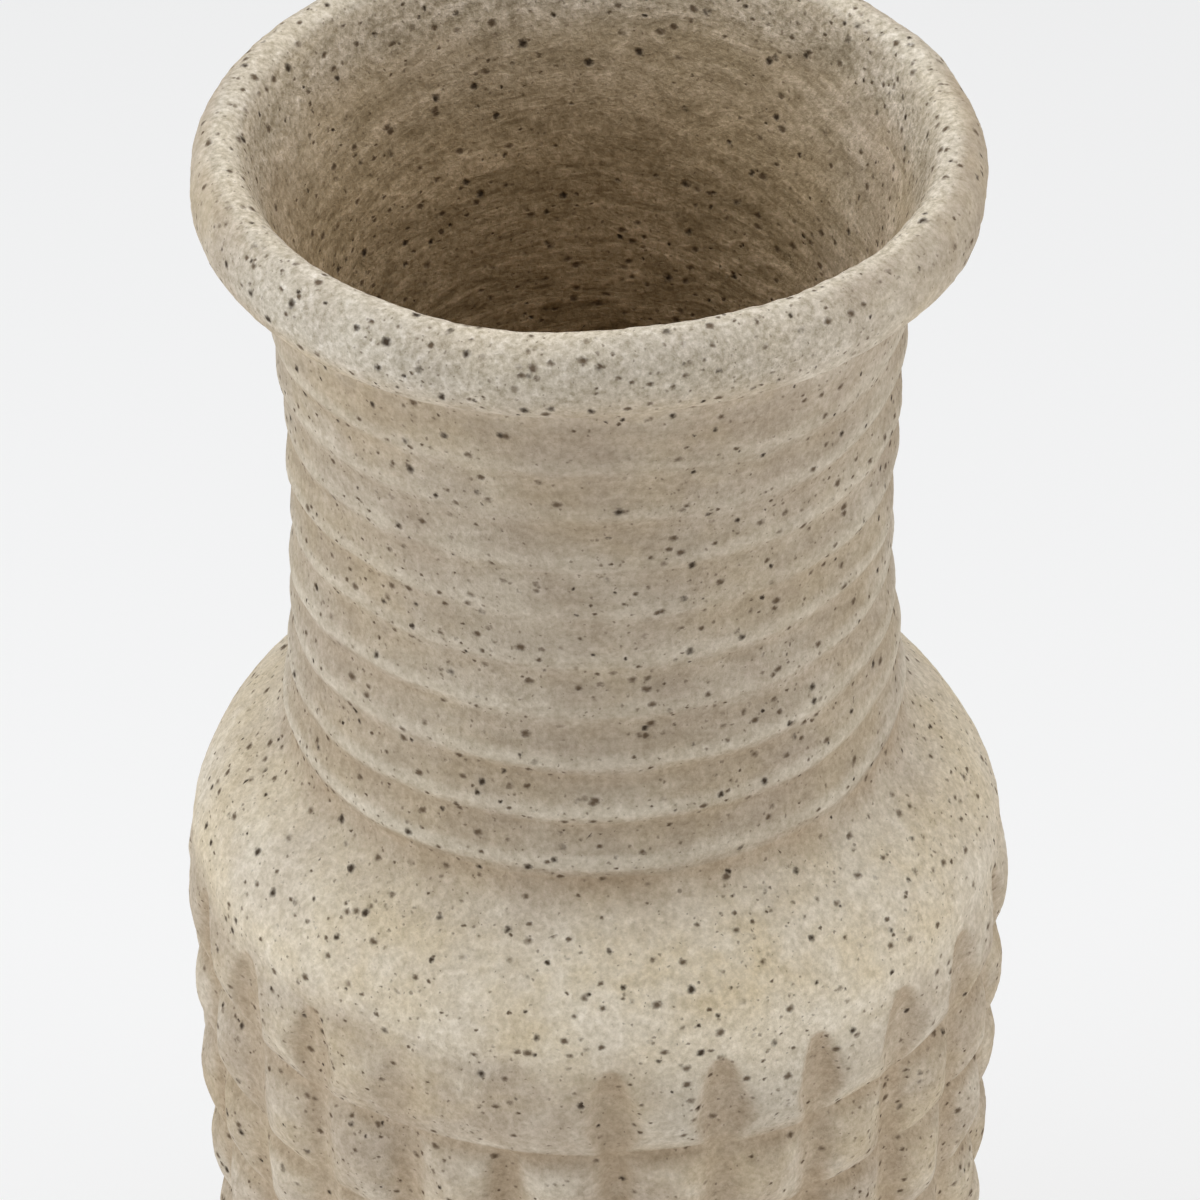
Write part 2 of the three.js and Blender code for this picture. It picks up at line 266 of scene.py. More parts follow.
def apply_modifiers(piece: bpy.types.Object) -> None:
    """Applies every modifier of a piece, in order.

    Args:
        piece: The piece.
    """
    select_only(piece)
    for modifier in list(piece.modifiers):
        bpy.ops.object.modifier_apply(modifier=modifier.name)


def keep(piece: bpy.types.Object, name: str, values: np.ndarray) -> None:
    """Keeps a value on each vertex of a piece, as an attribute.

    Args:
        piece: The piece.
        name: The attribute's name.
        values: One value for each vertex.
    """
    attribute = piece.data.attributes.new(name, "FLOAT", "POINT")
    attribute.data.foreach_set("value", values.astype(np.float32))


def weigh(piece: bpy.types.Object, name: str, weights: np.ndarray) -> None:
    """Paints a weight on each vertex of a piece, as a vertex group.

    Args:
        piece: The piece.
        name: Name of the group.
        weights: One weight from 0 to 1 for each vertex.
    """
    group = piece.vertex_groups.new(name=name)
    for index in np.flatnonzero(weights > 0.0):
        group.add([int(index)], float(weights[index]), "REPLACE")


def push(
    piece: bpy.types.Object, name: str, strength: float, weights: np.ndarray, direction: str = "NORMAL"
) -> None:
    """Moves a piece's surface by a weight painted on each vertex.

    Args:
        piece: The piece.
        name: Name of the vertex group and of its modifier.
        strength: How far a vertex of weight 1 moves.
        weights: One weight from 0 to 1 for each vertex.
        direction: The modifier's direction, outwards unless it says otherwise.
    """
    weigh(piece, name, weights)
    modifier = piece.modifiers.new(name, "DISPLACE")
    modifier.vertex_group = name
    modifier.mid_level = 0.0
    modifier.strength = strength
    modifier.direction = direction


@dataclass(frozen=True)
class Unevenness:
    """Cloudy noise that moves a surface.

    Attributes:
        name: Name of its texture and its modifier.
        grain: Size of its largest features.
        strength: Distance between the lowest and the highest places.
        depth: Its octaves.
        direction: The modifier's direction, outwards unless it says otherwise.
    """

    name: str
    grain: float
    strength: float
    depth: int = 1
    direction: str = "NORMAL"

    def roughen(self, piece: bpy.types.Object, group: str = "") -> None:
        """Moves a piece's surface.

        Args:
            piece: The piece.
            group: Vertex group that limits it, if any.
        """
        texture = bpy.data.textures.new(self.name, "CLOUDS")
        texture.noise_scale = self.grain
        texture.noise_depth = self.depth
        modifier = piece.modifiers.new(self.name, "DISPLACE")
        modifier.texture = texture
        modifier.texture_coords = "LOCAL"
        modifier.mid_level = 0.5
        modifier.strength = self.strength
        modifier.vertex_group = group
        modifier.direction = self.direction


def finish_piece(
    piece: bpy.types.Object, material: bpy.types.Material, body: Body, slot: str, *nodes: str
) -> None:
    """Dresses a modelled piece, seats it on its body and lets it stand for its solids.

    Args:
        piece: The piece.
        material: Its finish.
        body: The body that it rides on.
        slot: The record's material slot; not used.
        nodes: The solids that it stands for.
    """
    piece.data.materials.clear()
    piece.data.materials.append(material)
    select_only(piece)
    bpy.ops.object.shade_smooth_by_angle(angle=SMOOTH_ANGLE)
    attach(piece, body.value)
    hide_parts(*nodes)
    log.info("%s: %d faces", piece.name, len(piece.data.polygons))


class NodeBoard:
    """A small helper that places and links shader nodes in one tree."""

    def __init__(self, tree: bpy.types.NodeTree) -> None:
        """Starts on the node tree of a material, a group or a world."""
        self.tree = tree

    def add(
        self, kind: str, inputs: dict[str | int, object] | None = None, **settings: object
    ) -> bpy.types.Node:
        """Adds a node.

        Args:
            kind: The node's type.
            inputs: Values or sockets for its inputs, by name or number.
            settings: Its properties.

        Returns:
            The node.
        """
        node = self.tree.nodes.new(kind)
        for name, value in settings.items():
            setattr(node, name, value)
        for name, value in (inputs or {}).items():
            self.give(node.inputs[name], value)
        return node

    def give(self, socket: Link, value: object) -> None:
        """Links a socket to an input, or sets the input to a value.

        Args:
            socket: The input.
            value: A socket or a constant.
        """
        if isinstance(value, bpy.types.NodeSocket):
            self.tree.links.new(value, socket)
        else:
            socket.default_value = value

    def math(self, operation: str, *values: object) -> Link:
        """Adds a Math node on values or sockets and returns its result."""
        return self.add("ShaderNodeMath", dict(enumerate(values)), operation=operation).outputs[0]

    def times(self, product: object, *factors: object) -> Link:
        """Multiplies a socket by values or sockets, one after another.

        Args:
            product: The first socket.
            factors: What it is multiplied by.

        Returns:
            The product.
        """
        for factor in factors:
            product = self.math("MULTIPLY", product, factor)
        return product

    def swing(self, value: Link, gain: object, middle: float = 0.5) -> Link:
        """Spreads a value that lies about 0.5 by a gain, about a new middle."""
        return self.math("MULTIPLY_ADD", self.math("SUBTRACT", value, 0.5), gain, middle)

    def ramp(self, value: Link, low: float, high: float, start: float = 0.0, end: float = 1.0) -> Link:
        """Eases a value from start at low to end at high.

        Args:
            value: The socket that is eased.
            low: Where the ramp starts.
            high: Where it ends.
            start: What it gives at low.
            end: What it gives at high.

        Returns:
            The eased value.
        """
        values = {"Value": value, "From Min": low, "From Max": high, "To Min": start, "To Max": end}
        node = self.add("ShaderNodeMapRange", values, interpolation_type="SMOOTHSTEP")
        return node.outputs["Result"]

    def noise(
        self, where: Link, scale: object, detail: float, rough: float = 0.5, swirl: float = 0.0
    ) -> Link:
        """Adds a Noise Texture.

        Args:
            where: Where it is read.
            scale: Features to the metre.
            detail: Octaves.
            rough: How strong the finer octaves are.
            swirl: How far it is distorted.

        Returns:
            The noise, about 0.5.
        """
        values = {"Vector": where, "Scale": scale, "Detail": detail, "Roughness": rough, "Distortion": swirl}
        return self.add("ShaderNodeTexNoise", values).outputs[0]

    def mix(self, factor: object, low: object, high: object, blend: str = "MIX") -> Link:
        """Mixes two colours.

        Args:
            factor: Share of the second.
            low: The first colour.
            high: The second colour.
            blend: How they mix.

        Returns:
            The mixed colour.
        """
        node = self.add("ShaderNodeMix", {0: factor, 6: low, 7: high}, data_type="RGBA", blend_type=blend)
        return node.outputs[2]

    def squeeze(self, where: Link, scale: Place) -> Link:
        """Stretches coordinates with a Mapping node and returns them."""
        return self.add("ShaderNodeMapping", {"Vector": where, "Scale": scale}).outputs[0]


class EffectGroup(NodeBoard):
    """A shared effect: a node group that reads coordinates and values and gives one value."""

    def __init__(self, effect: Effect, result: str, *values: str) -> None:
        """Starts a group.

        Args:
            effect: Which effect it is.
            result: Name of its output.
            values: Names of its inputs, beside Vector.
        """
        super().__init__(bpy.data.node_groups.new(effect.value, "ShaderNodeTree"))
        sockets = self.tree.interface
        sockets.new_socket(name="Vector", in_out="INPUT", socket_type="NodeSocketVector")
        for name in values:
            sockets.new_socket(name=name, in_out="INPUT", socket_type="NodeSocketFloat")
        sockets.new_socket(name=result, in_out="OUTPUT", socket_type="NodeSocketFloat")
        self.given = self.tree.nodes.new("NodeGroupInput").outputs
        self.result = self.tree.nodes.new("NodeGroupOutput").inputs[result]

    def end(self, value: Link) -> bpy.types.NodeTree:
        """Ends the group with its result and returns its tree."""
        self.give(self.result, value)
        return self.tree


def speck_group() -> bpy.types.NodeTree:
    """Builds the group that scatters specks or pits of uneven sizes through a body.

    Returns:
        A group with Vector, Scale, Radius and Share in, and Mask out: 1 in the middle of a speck.
    """
    bend_scale, bend_reach = 560.0, 1.7 * MM
    least_size, extra_size = 0.5, 0.8
    soft_edge = (1.1, 0.25)
    group = EffectGroup(Effect.SPECKS, "Mask", "Scale", "Radius", "Share")
    where = group.given["Vector"]
    bend = group.add("ShaderNodeTexNoise", {"Vector": where, "Scale": bend_scale, "Detail": 1.0})
    shift = {0: bend.outputs["Color"], 1: (bend_reach, bend_reach, bend_reach), 2: where}
    bent = group.add("ShaderNodeVectorMath", shift, operation="MULTIPLY_ADD").outputs[0]
    values = {"Vector": bent, "Scale": group.given["Scale"], "Randomness": 1.0}
    cells = group.add("ShaderNodeTexVoronoi", values, feature="F1")
    luck = group.add("ShaderNodeSeparateColor", {0: cells.outputs["Color"]})
    kept = group.math("LESS_THAN", luck.outputs["Red"], group.given["Share"])
    rare = group.math("POWER", luck.outputs["Green"], 2.0)
    size = group.math("MULTIPLY_ADD", rare, extra_size, least_size)
    near = group.math("DIVIDE", cells.outputs["Distance"], group.times(size, group.given["Radius"]))
    return group.end(group.times(group.ramp(near, *soft_edge), kept))


def grain_group() -> bpy.types.NodeTree:
    """Builds the group of sandy grain, finer than a millimetre to a few millimetres.

    Returns:
        A group with Vector and Scale in, and Grain out, about 0.5.
    """
    octaves, rough = 3.0, 0.7
    group = EffectGroup(Effect.GRAIN, "Grain", "Scale")
    return group.end(group.noise(group.given["Vector"], group.given["Scale"], octaves, rough))


def patch_group() -> bpy.types.NodeTree:
    """Builds the group of broad soft patches, as of scum, ash or damp.

    Returns:
        A group with Vector, Scale and Cover in, and Patch out: 1 inside a patch.
    """
    octaves, rough = 4.0, 0.62
    bare_level, level_drop = 0.78, 0.5
    soft_edge = (-0.12, 0.16)
    group = EffectGroup(Effect.PATCHES, "Patch", "Scale", "Cover")
    cloud = group.noise(group.given["Vector"], group.given["Scale"], octaves, rough)
    level = group.math("SUBTRACT", bare_level, group.times(group.given["Cover"], level_drop))
    return group.end(group.ramp(group.math("SUBTRACT", cloud, level), *soft_edge))


class Sheet(NodeBoard):
    """A new material's board, with its shader and the shared effects."""

    def __init__(self, name: str, groups: dict[Effect, bpy.types.NodeTree] | None = None) -> None:
        """Starts a material.

        Args:
            name: Its name.
            groups: The shared effects, if it uses them.
        """
        self.material = bpy.data.materials.new(name)
        self.material.use_nodes = True
        super().__init__(self.material.node_tree)
        self.groups = groups or {}
        self.shader = self.tree.nodes["Principled BSDF"]

    @cached_property
    def where(self) -> Link:
        """The piece's own coordinates."""
        return self.add("ShaderNodeTexCoord").outputs["Object"]

    def effect(self, effect: Effect, scale: float, stretch: Place | None = None, **inputs: object) -> Link:
        """Places a shared effect.

        Args:
            effect: Which effect.
            scale: Its features to the metre.
            stretch: How its coordinates are squeezed, if they are.
            inputs: Its other inputs.

        Returns:
            Its value.
        """
        where = self.squeeze(self.where, stretch) if stretch else self.where
        values = {"Vector": where, "Scale": scale, **inputs}
        return self.add("ShaderNodeGroup", values, node_tree=self.groups[effect]).outputs[0]

    def dress(self, **inputs: object) -> None:
        """Gives the shader its inputs.

        Args:
            inputs: Sockets or constants, by the inputs' names with underscores for their spaces.
        """
        for name, value in inputs.items():
            self.give(self.shader.inputs[name.replace("_", " ")], value)

    def bump(self, height: Link, strength: float, distance: float) -> None:
        """Roughens the shader's surface by a height."""
        values = {"Strength": strength, "Distance": distance, "Height": height}
        self.dress(Normal=self.add("ShaderNodeBump", values).outputs[0])


class Cloud(NamedTuple):
    """Cloudy noise, by its features to the metre, octaves, strength of the finer octaves and distortion."""

    scale: float
    detail: float
    rough: float = 0.5
    swirl: float = 0.0


class Patches(NamedTuple):
    """Soft patches of a colour, by their features to the metre, their cover and how they are squeezed."""

    scale: float
    cover: float
    stretch: Place | None = None


@dataclass(frozen=True)
class ClayFinish:
    """Fired clay with sand in it: matte, pitted, in soft patches of cream, ochre and grey."""

    groups: dict[Effect, bpy.types.NodeTree]

    # Colours
    body: Colour = (0.53, 0.44, 0.337, 1.0)
    cream: Colour = (0.71, 0.63, 0.51, 1.0)
    ochre: Colour = (0.54, 0.42, 0.25, 1.0)
    rose: Colour = (0.435, 0.35, 0.266, 1.0)
    # Painted light on the shoulder and the lip's inner brink
    shelf: Colour = (0.88, 0.785, 0.635, 1.0)
    lip: Colour = (0.59, 0.53, 0.435, 1.0)
    # Darker brown of the grooves, also used for painted shade in recesses
    hollow: Colour = (0.44, 0.335, 0.225, 1.0)
    # Painted shade inside the pot, darker and browner
    inside: Colour = (0.515, 0.385, 0.23, 1.0)
    amber: Colour = (0.66, 0.525, 0.32, 1.0)
    pit: Colour = (0.04, 0.024, 0.012, 1.0)
    speck: Colour = (0.095, 0.057, 0.028, 1.0)

    # Patches, and how strongly each layer covers what lies under it
    cream_patches: Patches = Patches(24.0, 0.6)
    ochre_patches: Patches = Patches(15.0, 0.55, (1.0, 1.0, 1.6))
    rose_patches: Patches = Patches(33.0, 0.55, (1.3, 0.9, 1.2))
    amber_patches: Patches = Patches(19.0, 0.56)
    # Patchiness of the darker grooves and their painted shade
    slip_shade_cloud: Cloud = Cloud(34.0, 3.0)
    slip_shade_edge: Point = (0.36, 0.62)
    least_slip_shade: float = 0.55
    cream_share: float = 0.75
    ochre_share: float = 0.5
    rose_share: float = 0.5
    amber_share: float = 0.75
    pale_share: float = 0.8
    painted_light_share: float = 0.7
    # How strongly the painted highlight covers the rib crests
    ridge_highlight_share: float = 0.85
    slip_and_shade_share: float = 0.92
    inside_shade_share: float = 0.9
    evened_by_pallor: float = 0.6
    rose_lost_to_pallor: float = 0.3

    # Pits, specks and dust
    crowd: Cloud = Cloud(19.0, 3.0)
    crowd_edge: Point = (0.36, 0.6)
    crowd_range: Point = (0.3, 0.9)
    shelf_crowd: float = 0.85
    pit_scale: float = 120.0
    pit_radius: float = 0.205
    lip_pit_growth: float = 0.02
    pit_share: float = 0.97
    speck_scale: float = 165.0
    speck_radius: float = 0.3
    speck_squeeze: Place = (1.0, 1.0, 1.3)
    speck_share: float = 0.9
    dust_scale: float = 400.0
    dust_crowd: float = 0.6
    dust_share: float = 0.6

    # Wiped streaks, which bow up in the middle as a hand leaves them, smears and strokes
    streaks: Cloud = Cloud(1.0, 4.0, 0.62)
    streak_bow: float = 3.0
    streak_squeeze: Place = (9.0, 9.0, 190.0)
    streaks_inside: float = 0.7
    smears: Cloud = Cloud(28.0, 6.0, 0.68, 2.1)
    smear_squeeze: Place = (1.0, 1.0, 2.2)
    strokes: Cloud = Cloud(9.0, 2.0, 0.5, 1.4)
    stroke_squeeze: Place = (1.0, 1.0, 2.6)
    stroke_width: float = 0.034
    stroke_gaps: Cloud = Cloud(15.0, 2.0)
    stroke_gap_edge: Point = (0.52, 0.66)

    # Grain and tone
    sand_scale: float = 430.0
    coarse_scale: float = 190.0
    sand_gain: float = 0.85
    lip_gain: float = 0.75
    inside_gain: float = 0.65
    grain_spread: Point = (0.3, 0.7)
    smear_spread: Point = (0.32, 0.68)
    coarse_tone: Point = (0.92, 1.08)
    streak_tone: Point = (0.82, 1.16)
    smear_tone: Point = (0.64, 1.36)
    # How far painted shade darkens the tone
    painted_shade_depth: float = 0.3
    painted_shade_tone: float = 0.93
    stroke_tone: float = 0.55
    green_power: float = 1.08
    blue_power: float = 1.3

    # Relief and shine
    relief: float = 0.8 * MM
    relief_strength: float = 0.75
    sand_height: float = 0.9
    coarse_height: float = 1.1
    streak_height: float = 0.9
    smear_height: float = 1.8
    stroke_height: float = 0.4
    hole_depth: float = 1.3
    speck_depth: float = 0.5
    roughness: Point = (0.86, 0.98)
    shine: float = 0.25

    def scatter(self, sheet: Sheet, painted: dict[Paint, Link]) -> tuple[Link, Link, Link]:
        """Scatters pits, specks and dust, crowded in places, on the lip and on the shoulder.

        Args:
            sheet: The material's board.
            painted: What the vertices tell.

        Returns:
            The masks of the pits, the specks and the dust.
        """
        crowd = sheet.ramp(sheet.noise(sheet.where, *self.crowd), *self.crowd_edge, *self.crowd_range)
        sifted = sheet.times(crowd, self.dust_crowd)
        crowd = sheet.math("MAXIMUM", crowd, painted[Paint.LIP])
        crowd = sheet.math("MAXIMUM", crowd, sheet.times(painted[Paint.SHELF], self.shelf_crowd))
        radius = sheet.math("MULTIPLY_ADD", painted[Paint.LIP], self.lip_pit_growth, self.pit_radius)
        pits = sheet.effect(Effect.SPECKS, self.pit_scale, Radius=radius, Share=crowd)
        shape = (self.speck_scale, self.speck_squeeze)
        specks = sheet.effect(Effect.SPECKS, *shape, Radius=self.speck_radius, Share=crowd)
        dust = sheet.effect(Effect.SPECKS, self.dust_scale, Radius=self.speck_radius, Share=sifted)
        return pits, specks, dust

    def wipe(self, sheet: Sheet, painted: dict[Paint, Link]) -> tuple[Link, Link, Link]:
        """Draws what hands leave: level streaks, and smears and strokes inside.

        Args:
            sheet: The material's board.
            painted: What the vertices tell.

        Returns:
            The streaks and the smears, about 0.5, and the mask of the strokes.
        """
        smeared = painted[Paint.SMEARED]
        parts = sheet.add("ShaderNodeSeparateXYZ", {0: sheet.where}).outputs
        bow = sheet.times(sheet.math("POWER", parts["X"], 2.0), self.streak_bow)
        bowed = {0: parts["X"], 1: parts["Y"], 2: sheet.math("ADD", parts["Z"], bow)}
        bent = sheet.add("ShaderNodeCombineXYZ", bowed).outputs[0]
        streaks = sheet.noise(sheet.squeeze(bent, self.streak_squeeze), *self.streaks)
        wiping = sheet.math("MULTIPLY_ADD", smeared, self.streaks_inside, painted[Paint.THROWN])
        smears = sheet.noise(sheet.squeeze(sheet.where, self.smear_squeeze), *self.smears)
        course = sheet.noise(sheet.squeeze(sheet.where, self.stroke_squeeze), *self.strokes)
        aside = sheet.math("ABSOLUTE", sheet.math("SUBTRACT", course, 0.5))
        gaps = sheet.ramp(sheet.noise(sheet.where, *self.stroke_gaps), *self.stroke_gap_edge)
        strokes = sheet.times(sheet.ramp(aside, self.stroke_width, 0.0), gaps, smeared)
        return sheet.swing(streaks, wiping), sheet.swing(smears, smeared), strokes

    def ground(self, sheet: Sheet, painted: dict[Paint, Link]) -> Link:
        """Lays the clay's colours over one another, painted light and painted shade among them.

        Args:
            sheet: The material's board.
            painted: What the vertices tell.

        Returns:
            The colour, still without grain and specks.
        """
        pallor = sheet.math("MAXIMUM", painted[Paint.LIP], painted[Paint.WASHED])
        even = sheet.math("MULTIPLY_ADD", pallor, -self.evened_by_pallor, 1.0)
        blush = sheet.math("MULTIPLY_ADD", pallor, -self.rose_lost_to_pallor, self.rose_share)
        cream, ochre, rose, amber = (
            sheet.effect(Effect.PATCHES, patches.scale, patches.stretch, Cover=patches.cover)
            for patches in (self.cream_patches, self.ochre_patches, self.rose_patches, self.amber_patches)
        )
        slip_shade_cloud = sheet.ramp(sheet.noise(sheet.where, *self.slip_shade_cloud), *self.slip_shade_edge, self.least_slip_shade)
        layers = (
            # Pale lip colour, and painted light on the front-right crown pads
            (sheet.times(pallor, self.pale_share), self.lip),
            (sheet.times(cream, self.cream_share, even), self.cream),
            (sheet.times(ochre, self.ochre_share, even), self.ochre),
            (sheet.times(rose, blush), self.rose),
            # Painted shade, as a rose brown layer
            (painted[Paint.THROWN], self.rose),
            # Painted light on the shoulder and the lip's inner brink
            (sheet.times(painted[Paint.SHELF], self.painted_light_share), self.shelf),
            (sheet.times(amber, painted[Paint.SHELF], even, self.amber_share), self.amber),
            # Painted highlight along the rib crests
            (sheet.times(painted[Paint.RIDGE], self.ridge_highlight_share), self.cream),
            # Darker grooves and scoops, with painted shadow under level grooves and at rib roots
            (sheet.times(painted[Paint.HOLLOW], slip_shade_cloud, self.slip_and_shade_share), self.hollow),
            # Painted shade inside the pot
            (sheet.times(painted[Paint.INSIDE], self.inside_shade_share), self.inside),
        )
        colour = self.body
        for share, tint in layers:
            colour = sheet.mix(share, colour, tint)
        return colour

    def material(self) -> bpy.types.Material:
        """Builds the clay.

        Returns:
            The material.
        """
        sheet = Sheet("speckled_clay", self.groups)
        painted = {}
        for paint in Paint:
            painted[paint] = sheet.add("ShaderNodeAttribute", attribute_name=paint.value).outputs["Fac"]
        sand = sheet.effect(Effect.GRAIN, self.sand_scale)
        coarse = sheet.effect(Effect.GRAIN, self.coarse_scale)
        pits, specks, dust = self.scatter(sheet, painted)
        streaks, smears, strokes = self.wipe(sheet, painted)

        gain = sheet.math("MULTIPLY_ADD", painted[Paint.LIP], self.lip_gain, self.sand_gain)
        gain = sheet.math("MULTIPLY_ADD", painted[Paint.INSIDE], self.inside_gain, gain)
        tone = sheet.times(
            sheet.swing(sand, gain, 1.0),
            sheet.ramp(coarse, *self.grain_spread, *self.coarse_tone),
            sheet.ramp(streaks, *self.grain_spread, *self.streak_tone),
            sheet.ramp(smears, *self.smear_spread, *self.smear_tone),
            # Darker where shade is painted
            sheet.ramp(painted[Paint.THROWN], 0.0, self.painted_shade_depth, 1.0, self.painted_shade_tone),
            sheet.math("MULTIPLY_ADD", strokes, self.stroke_tone, 1.0),
        )
        tints = {0: tone, 1: sheet.math("POWER", tone, self.green_power)}
        tints[2] = sheet.math("POWER", tone, self.blue_power)
        shade = sheet.add("ShaderNodeCombineColor", tints).outputs[0]
        colour = sheet.mix(1.0, self.ground(sheet, painted), shade, "MULTIPLY")
        spots = (
            (sheet.times(dust, self.dust_share), self.speck),
            (sheet.times(specks, self.speck_share), self.speck),
            (sheet.times(pits, self.pit_share), self.pit),
        )
        for share, tint in spots:
            colour = sheet.mix(share, colour, tint)

        holes = sheet.math("ADD", pits, sheet.times(specks, self.speck_depth))
        ridges = sheet.math("ADD", smears, sheet.times(strokes, self.stroke_height))
        height = sheet.times(sand, self.sand_height)
        height = sheet.math("SUBTRACT", height, sheet.times(holes, self.hole_depth))
        rises = ((coarse, self.coarse_height), (streaks, self.streak_height), (ridges, self.smear_height))
        for part, share in rises:
            height = sheet.math("ADD", height, sheet.times(part, share))
        sheet.bump(height, self.relief_strength, self.relief)
        roughness = sheet.ramp(sand, *self.grain_spread, *self.roughness)
        sheet.dress(Base_Color=colour, Roughness=roughness, Specular_IOR_Level=self.shine)
        return sheet.material


@dataclass(frozen=True)
class RubberFinish:
    """Black moulded rubber, dusty and a little bloomed."""

    groups: dict[Effect, bpy.types.NodeTree]
    black: Colour = (0.022, 0.021, 0.020, 1.0)
    bloom: Colour = (0.085, 0.080, 0.074, 1.0)
    bloom_patches: Patches = Patches(90.0, 0.5)
    roughness: Point = (0.55, 0.8)
    grain_scale: float = 1800.0
    relief: float = 0.2 * MM
    relief_strength: float = 0.3

    def material(self) -> bpy.types.Material:
        """Builds the rubber.

        Returns:
            The material.
        """
        sheet = Sheet("plug_rubber", self.groups)
        dusty = sheet.effect(Effect.PATCHES, self.bloom_patches.scale, Cover=self.bloom_patches.cover)
        colour = sheet.mix(dusty, self.black, self.bloom)
        sheet.bump(sheet.effect(Effect.GRAIN, self.grain_scale), self.relief_strength, self.relief)
        sheet.dress(Base_Color=colour, Roughness=sheet.ramp(dusty, 0.0, 1.0, *self.roughness))
        return sheet.material


@dataclass(frozen=True)
class FeltFinish:
    """Pressed wool felt, flecked with lighter and darker fibres."""

    groups: dict[Effect, bpy.types.NodeTree]
    wool: Colour = (0.135, 0.115, 0.095, 1.0)
    fleck: Colour = (0.25, 0.22, 0.19, 1.0)
    fleck_edge: Point = (0.45, 0.7)
    fibre_scale: float = 1300.0
    fibre_squeeze: Place = (1.0, 2.3, 1.6)
    relief: float = 0.4 * MM
    relief_strength: float = 0.8
    sheen: float = 0.3

    def material(self) -> bpy.types.Material:
        """Builds the felt.

        Returns:
            The material.
        """
        sheet = Sheet("pressed_felt", self.groups)
        fibres = sheet.effect(Effect.GRAIN, self.fibre_scale, self.fibre_squeeze)
        colour = sheet.mix(sheet.ramp(fibres, *self.fleck_edge), self.wool, self.fleck)
        sheet.bump(fibres, self.relief_strength, self.relief)
        sheet.dress(Base_Color=colour, Roughness=1.0, Sheen_Weight=self.sheen)
        return sheet.material


@dataclass
class Outline:
    """A closed outline of radius and height, drawn one stretch after another."""

    points: list[Point] = field(default_factory=list)
    ends: list[int] = field(default_factory=list)

    def run(self, points: list[Point]) -> None:
        """Adds points to the stretch that is being drawn."""
        self.points += points

    def rise(self, radius: Callable[[float], float], end: float, steps: int) -> None:
        """Adds a wall up or down to a height, whose radius follows its height.

        Args:
            radius: Gives the radius at a height.
            end: The height where it ends.
            steps: Points on it.
        """
        self.run([(radius(z), z) for z in steps_to(self.last[1], end, steps)])

    def end(self) -> None:
        """Ends a stretch at the last point."""
        self.ends.append(len(self.points) - 1)

    @property
    def last(self) -> Point:
        """The last point."""
        return self.points[-1]


@dataclass(frozen=True)
class Surface:
    """Where the shell's vertices lie: round the pot, in height, along the outline and on which stretch."""

    turn: np.ndarray
    z: np.ndarray
    along: np.ndarray
    stretch: np.ndarray

    @classmethod
    def of(cls, shell: bpy.types.Object, line: Outline) -> Surface:
        """Reads the spun shell's vertices.

        Args:
            shell: The spun shell.
            line: Its outline.

        Returns:
            Their places.
        """
        flat = np.empty(len(shell.data.vertices) * 3)
        shell.data.vertices.foreach_get("co", flat)
        x, y, z = flat.reshape(-1, 3).T
        along = np.empty(len(z), np.float32)
        shell.data.attributes[ALONG].data.foreach_get("value", along)
        return cls(np.degrees(np.arctan2(x, -y)), z, along, np.searchsorted(line.ends, along))

    def on(self, *stretches: Stretch) -> np.ndarray:
        """Tells which vertices lie on some stretches."""
        return np.isin(self.stretch, [stretch.order for stretch in stretches])


@dataclass(frozen=True)
class Tinting:
    """Where slip, painted shade and painted light lie on the shell. Counts along the lip are points from its
    crest.
    """

    # Darker brown in the upright grooves and the scoops, painted shadow under each level groove and at the
    # neck's foot, and slip with painted shade at the roots of the ribs
    dark_flank: Point = (0.5, 0.84)
    dark_scoop: float = 0.6
    under_shade_run: Point = (9.0 * MM, 1.0 * MM)
    under_shade_spill: float = 2.0 * MM
    root_slip_shade: float = 0.7
    root_height: float = 0.5
    ridge_height: Point = (0.6, 0.95)
    neck_shade: float = 14.0 * MM

    # Painted light on the shoulder, brightest at the front, which reaches further down the pads on the lit
    # right side and at the front right, and less far on the shaded left front
    shelf_reach: float = 12.0 * MM
    lit_side: Arc = Arc(2.0, 20.0, 60.0, 100.0)
    lit_reach: float = 12.0 * MM
    lit_front_right: Arc = Arc(2.0, 12.0, 30.0, 52.0)
    lit_front_reach: float = 8.0 * MM
    shaded_side: Arc = Arc(-62.0, -40.0, -14.0, -2.0)
    shaded_reach: float = 4.0 * MM
    shade_loss: float = 0.3
    shelf_ease: float = 7.0 * MM
    shelf_height: float = 28.0 * MM
    light_at_back: float = 0.55
    light_facing: Point = (0.3, 0.95)

    # Painted light on the front-right crown pads
    lit_crown_foot: float = 8.0 * MM
    lit_crown_head: Point = (2.0 * MM, 20.0 * MM)

    # Lip, with painted shade on its outer sides and a painted highlight along its inner brink
    crest_to_end: int = 12
    brink_rise: tuple[int, int] = (-7, -1)
    brink_fall: tuple[int, int] = (7, 4)
    brink_highlight: float = 0.4
    lip_foot: float = 0.95
    lip_right_shade: Arc = Arc(20.0, 65.0, 110.0, 150.0)
    right_fade: tuple[int, int] = (-10, 0)
    lip_left_shade: Arc = Arc(-150.0, -110.0, -75.0, -50.0)
    left_fade: tuple[int, int] = (-12, -4)
    outer_shade: float = 0.2

    # Inside: painted shade from the brink down, less of it on the right where painted light falls in, and
    # wiped
    throat_right: Arc = Arc(70.0, 90.0, 112.0, 132.0)
    right_light: float = 0.4
    right_clear: float = 0.9
    shade_run: int = 14
    brink_shade: float = 0.35
    brink_drop: tuple[int, int] = (4, 10)
    inside_shade: float = 0.5
    neck_shadow: float = 0.3
    smear: float = 0.55
    deep_smear: float = 0.35
    smear_depth: float = 100.0 * MM


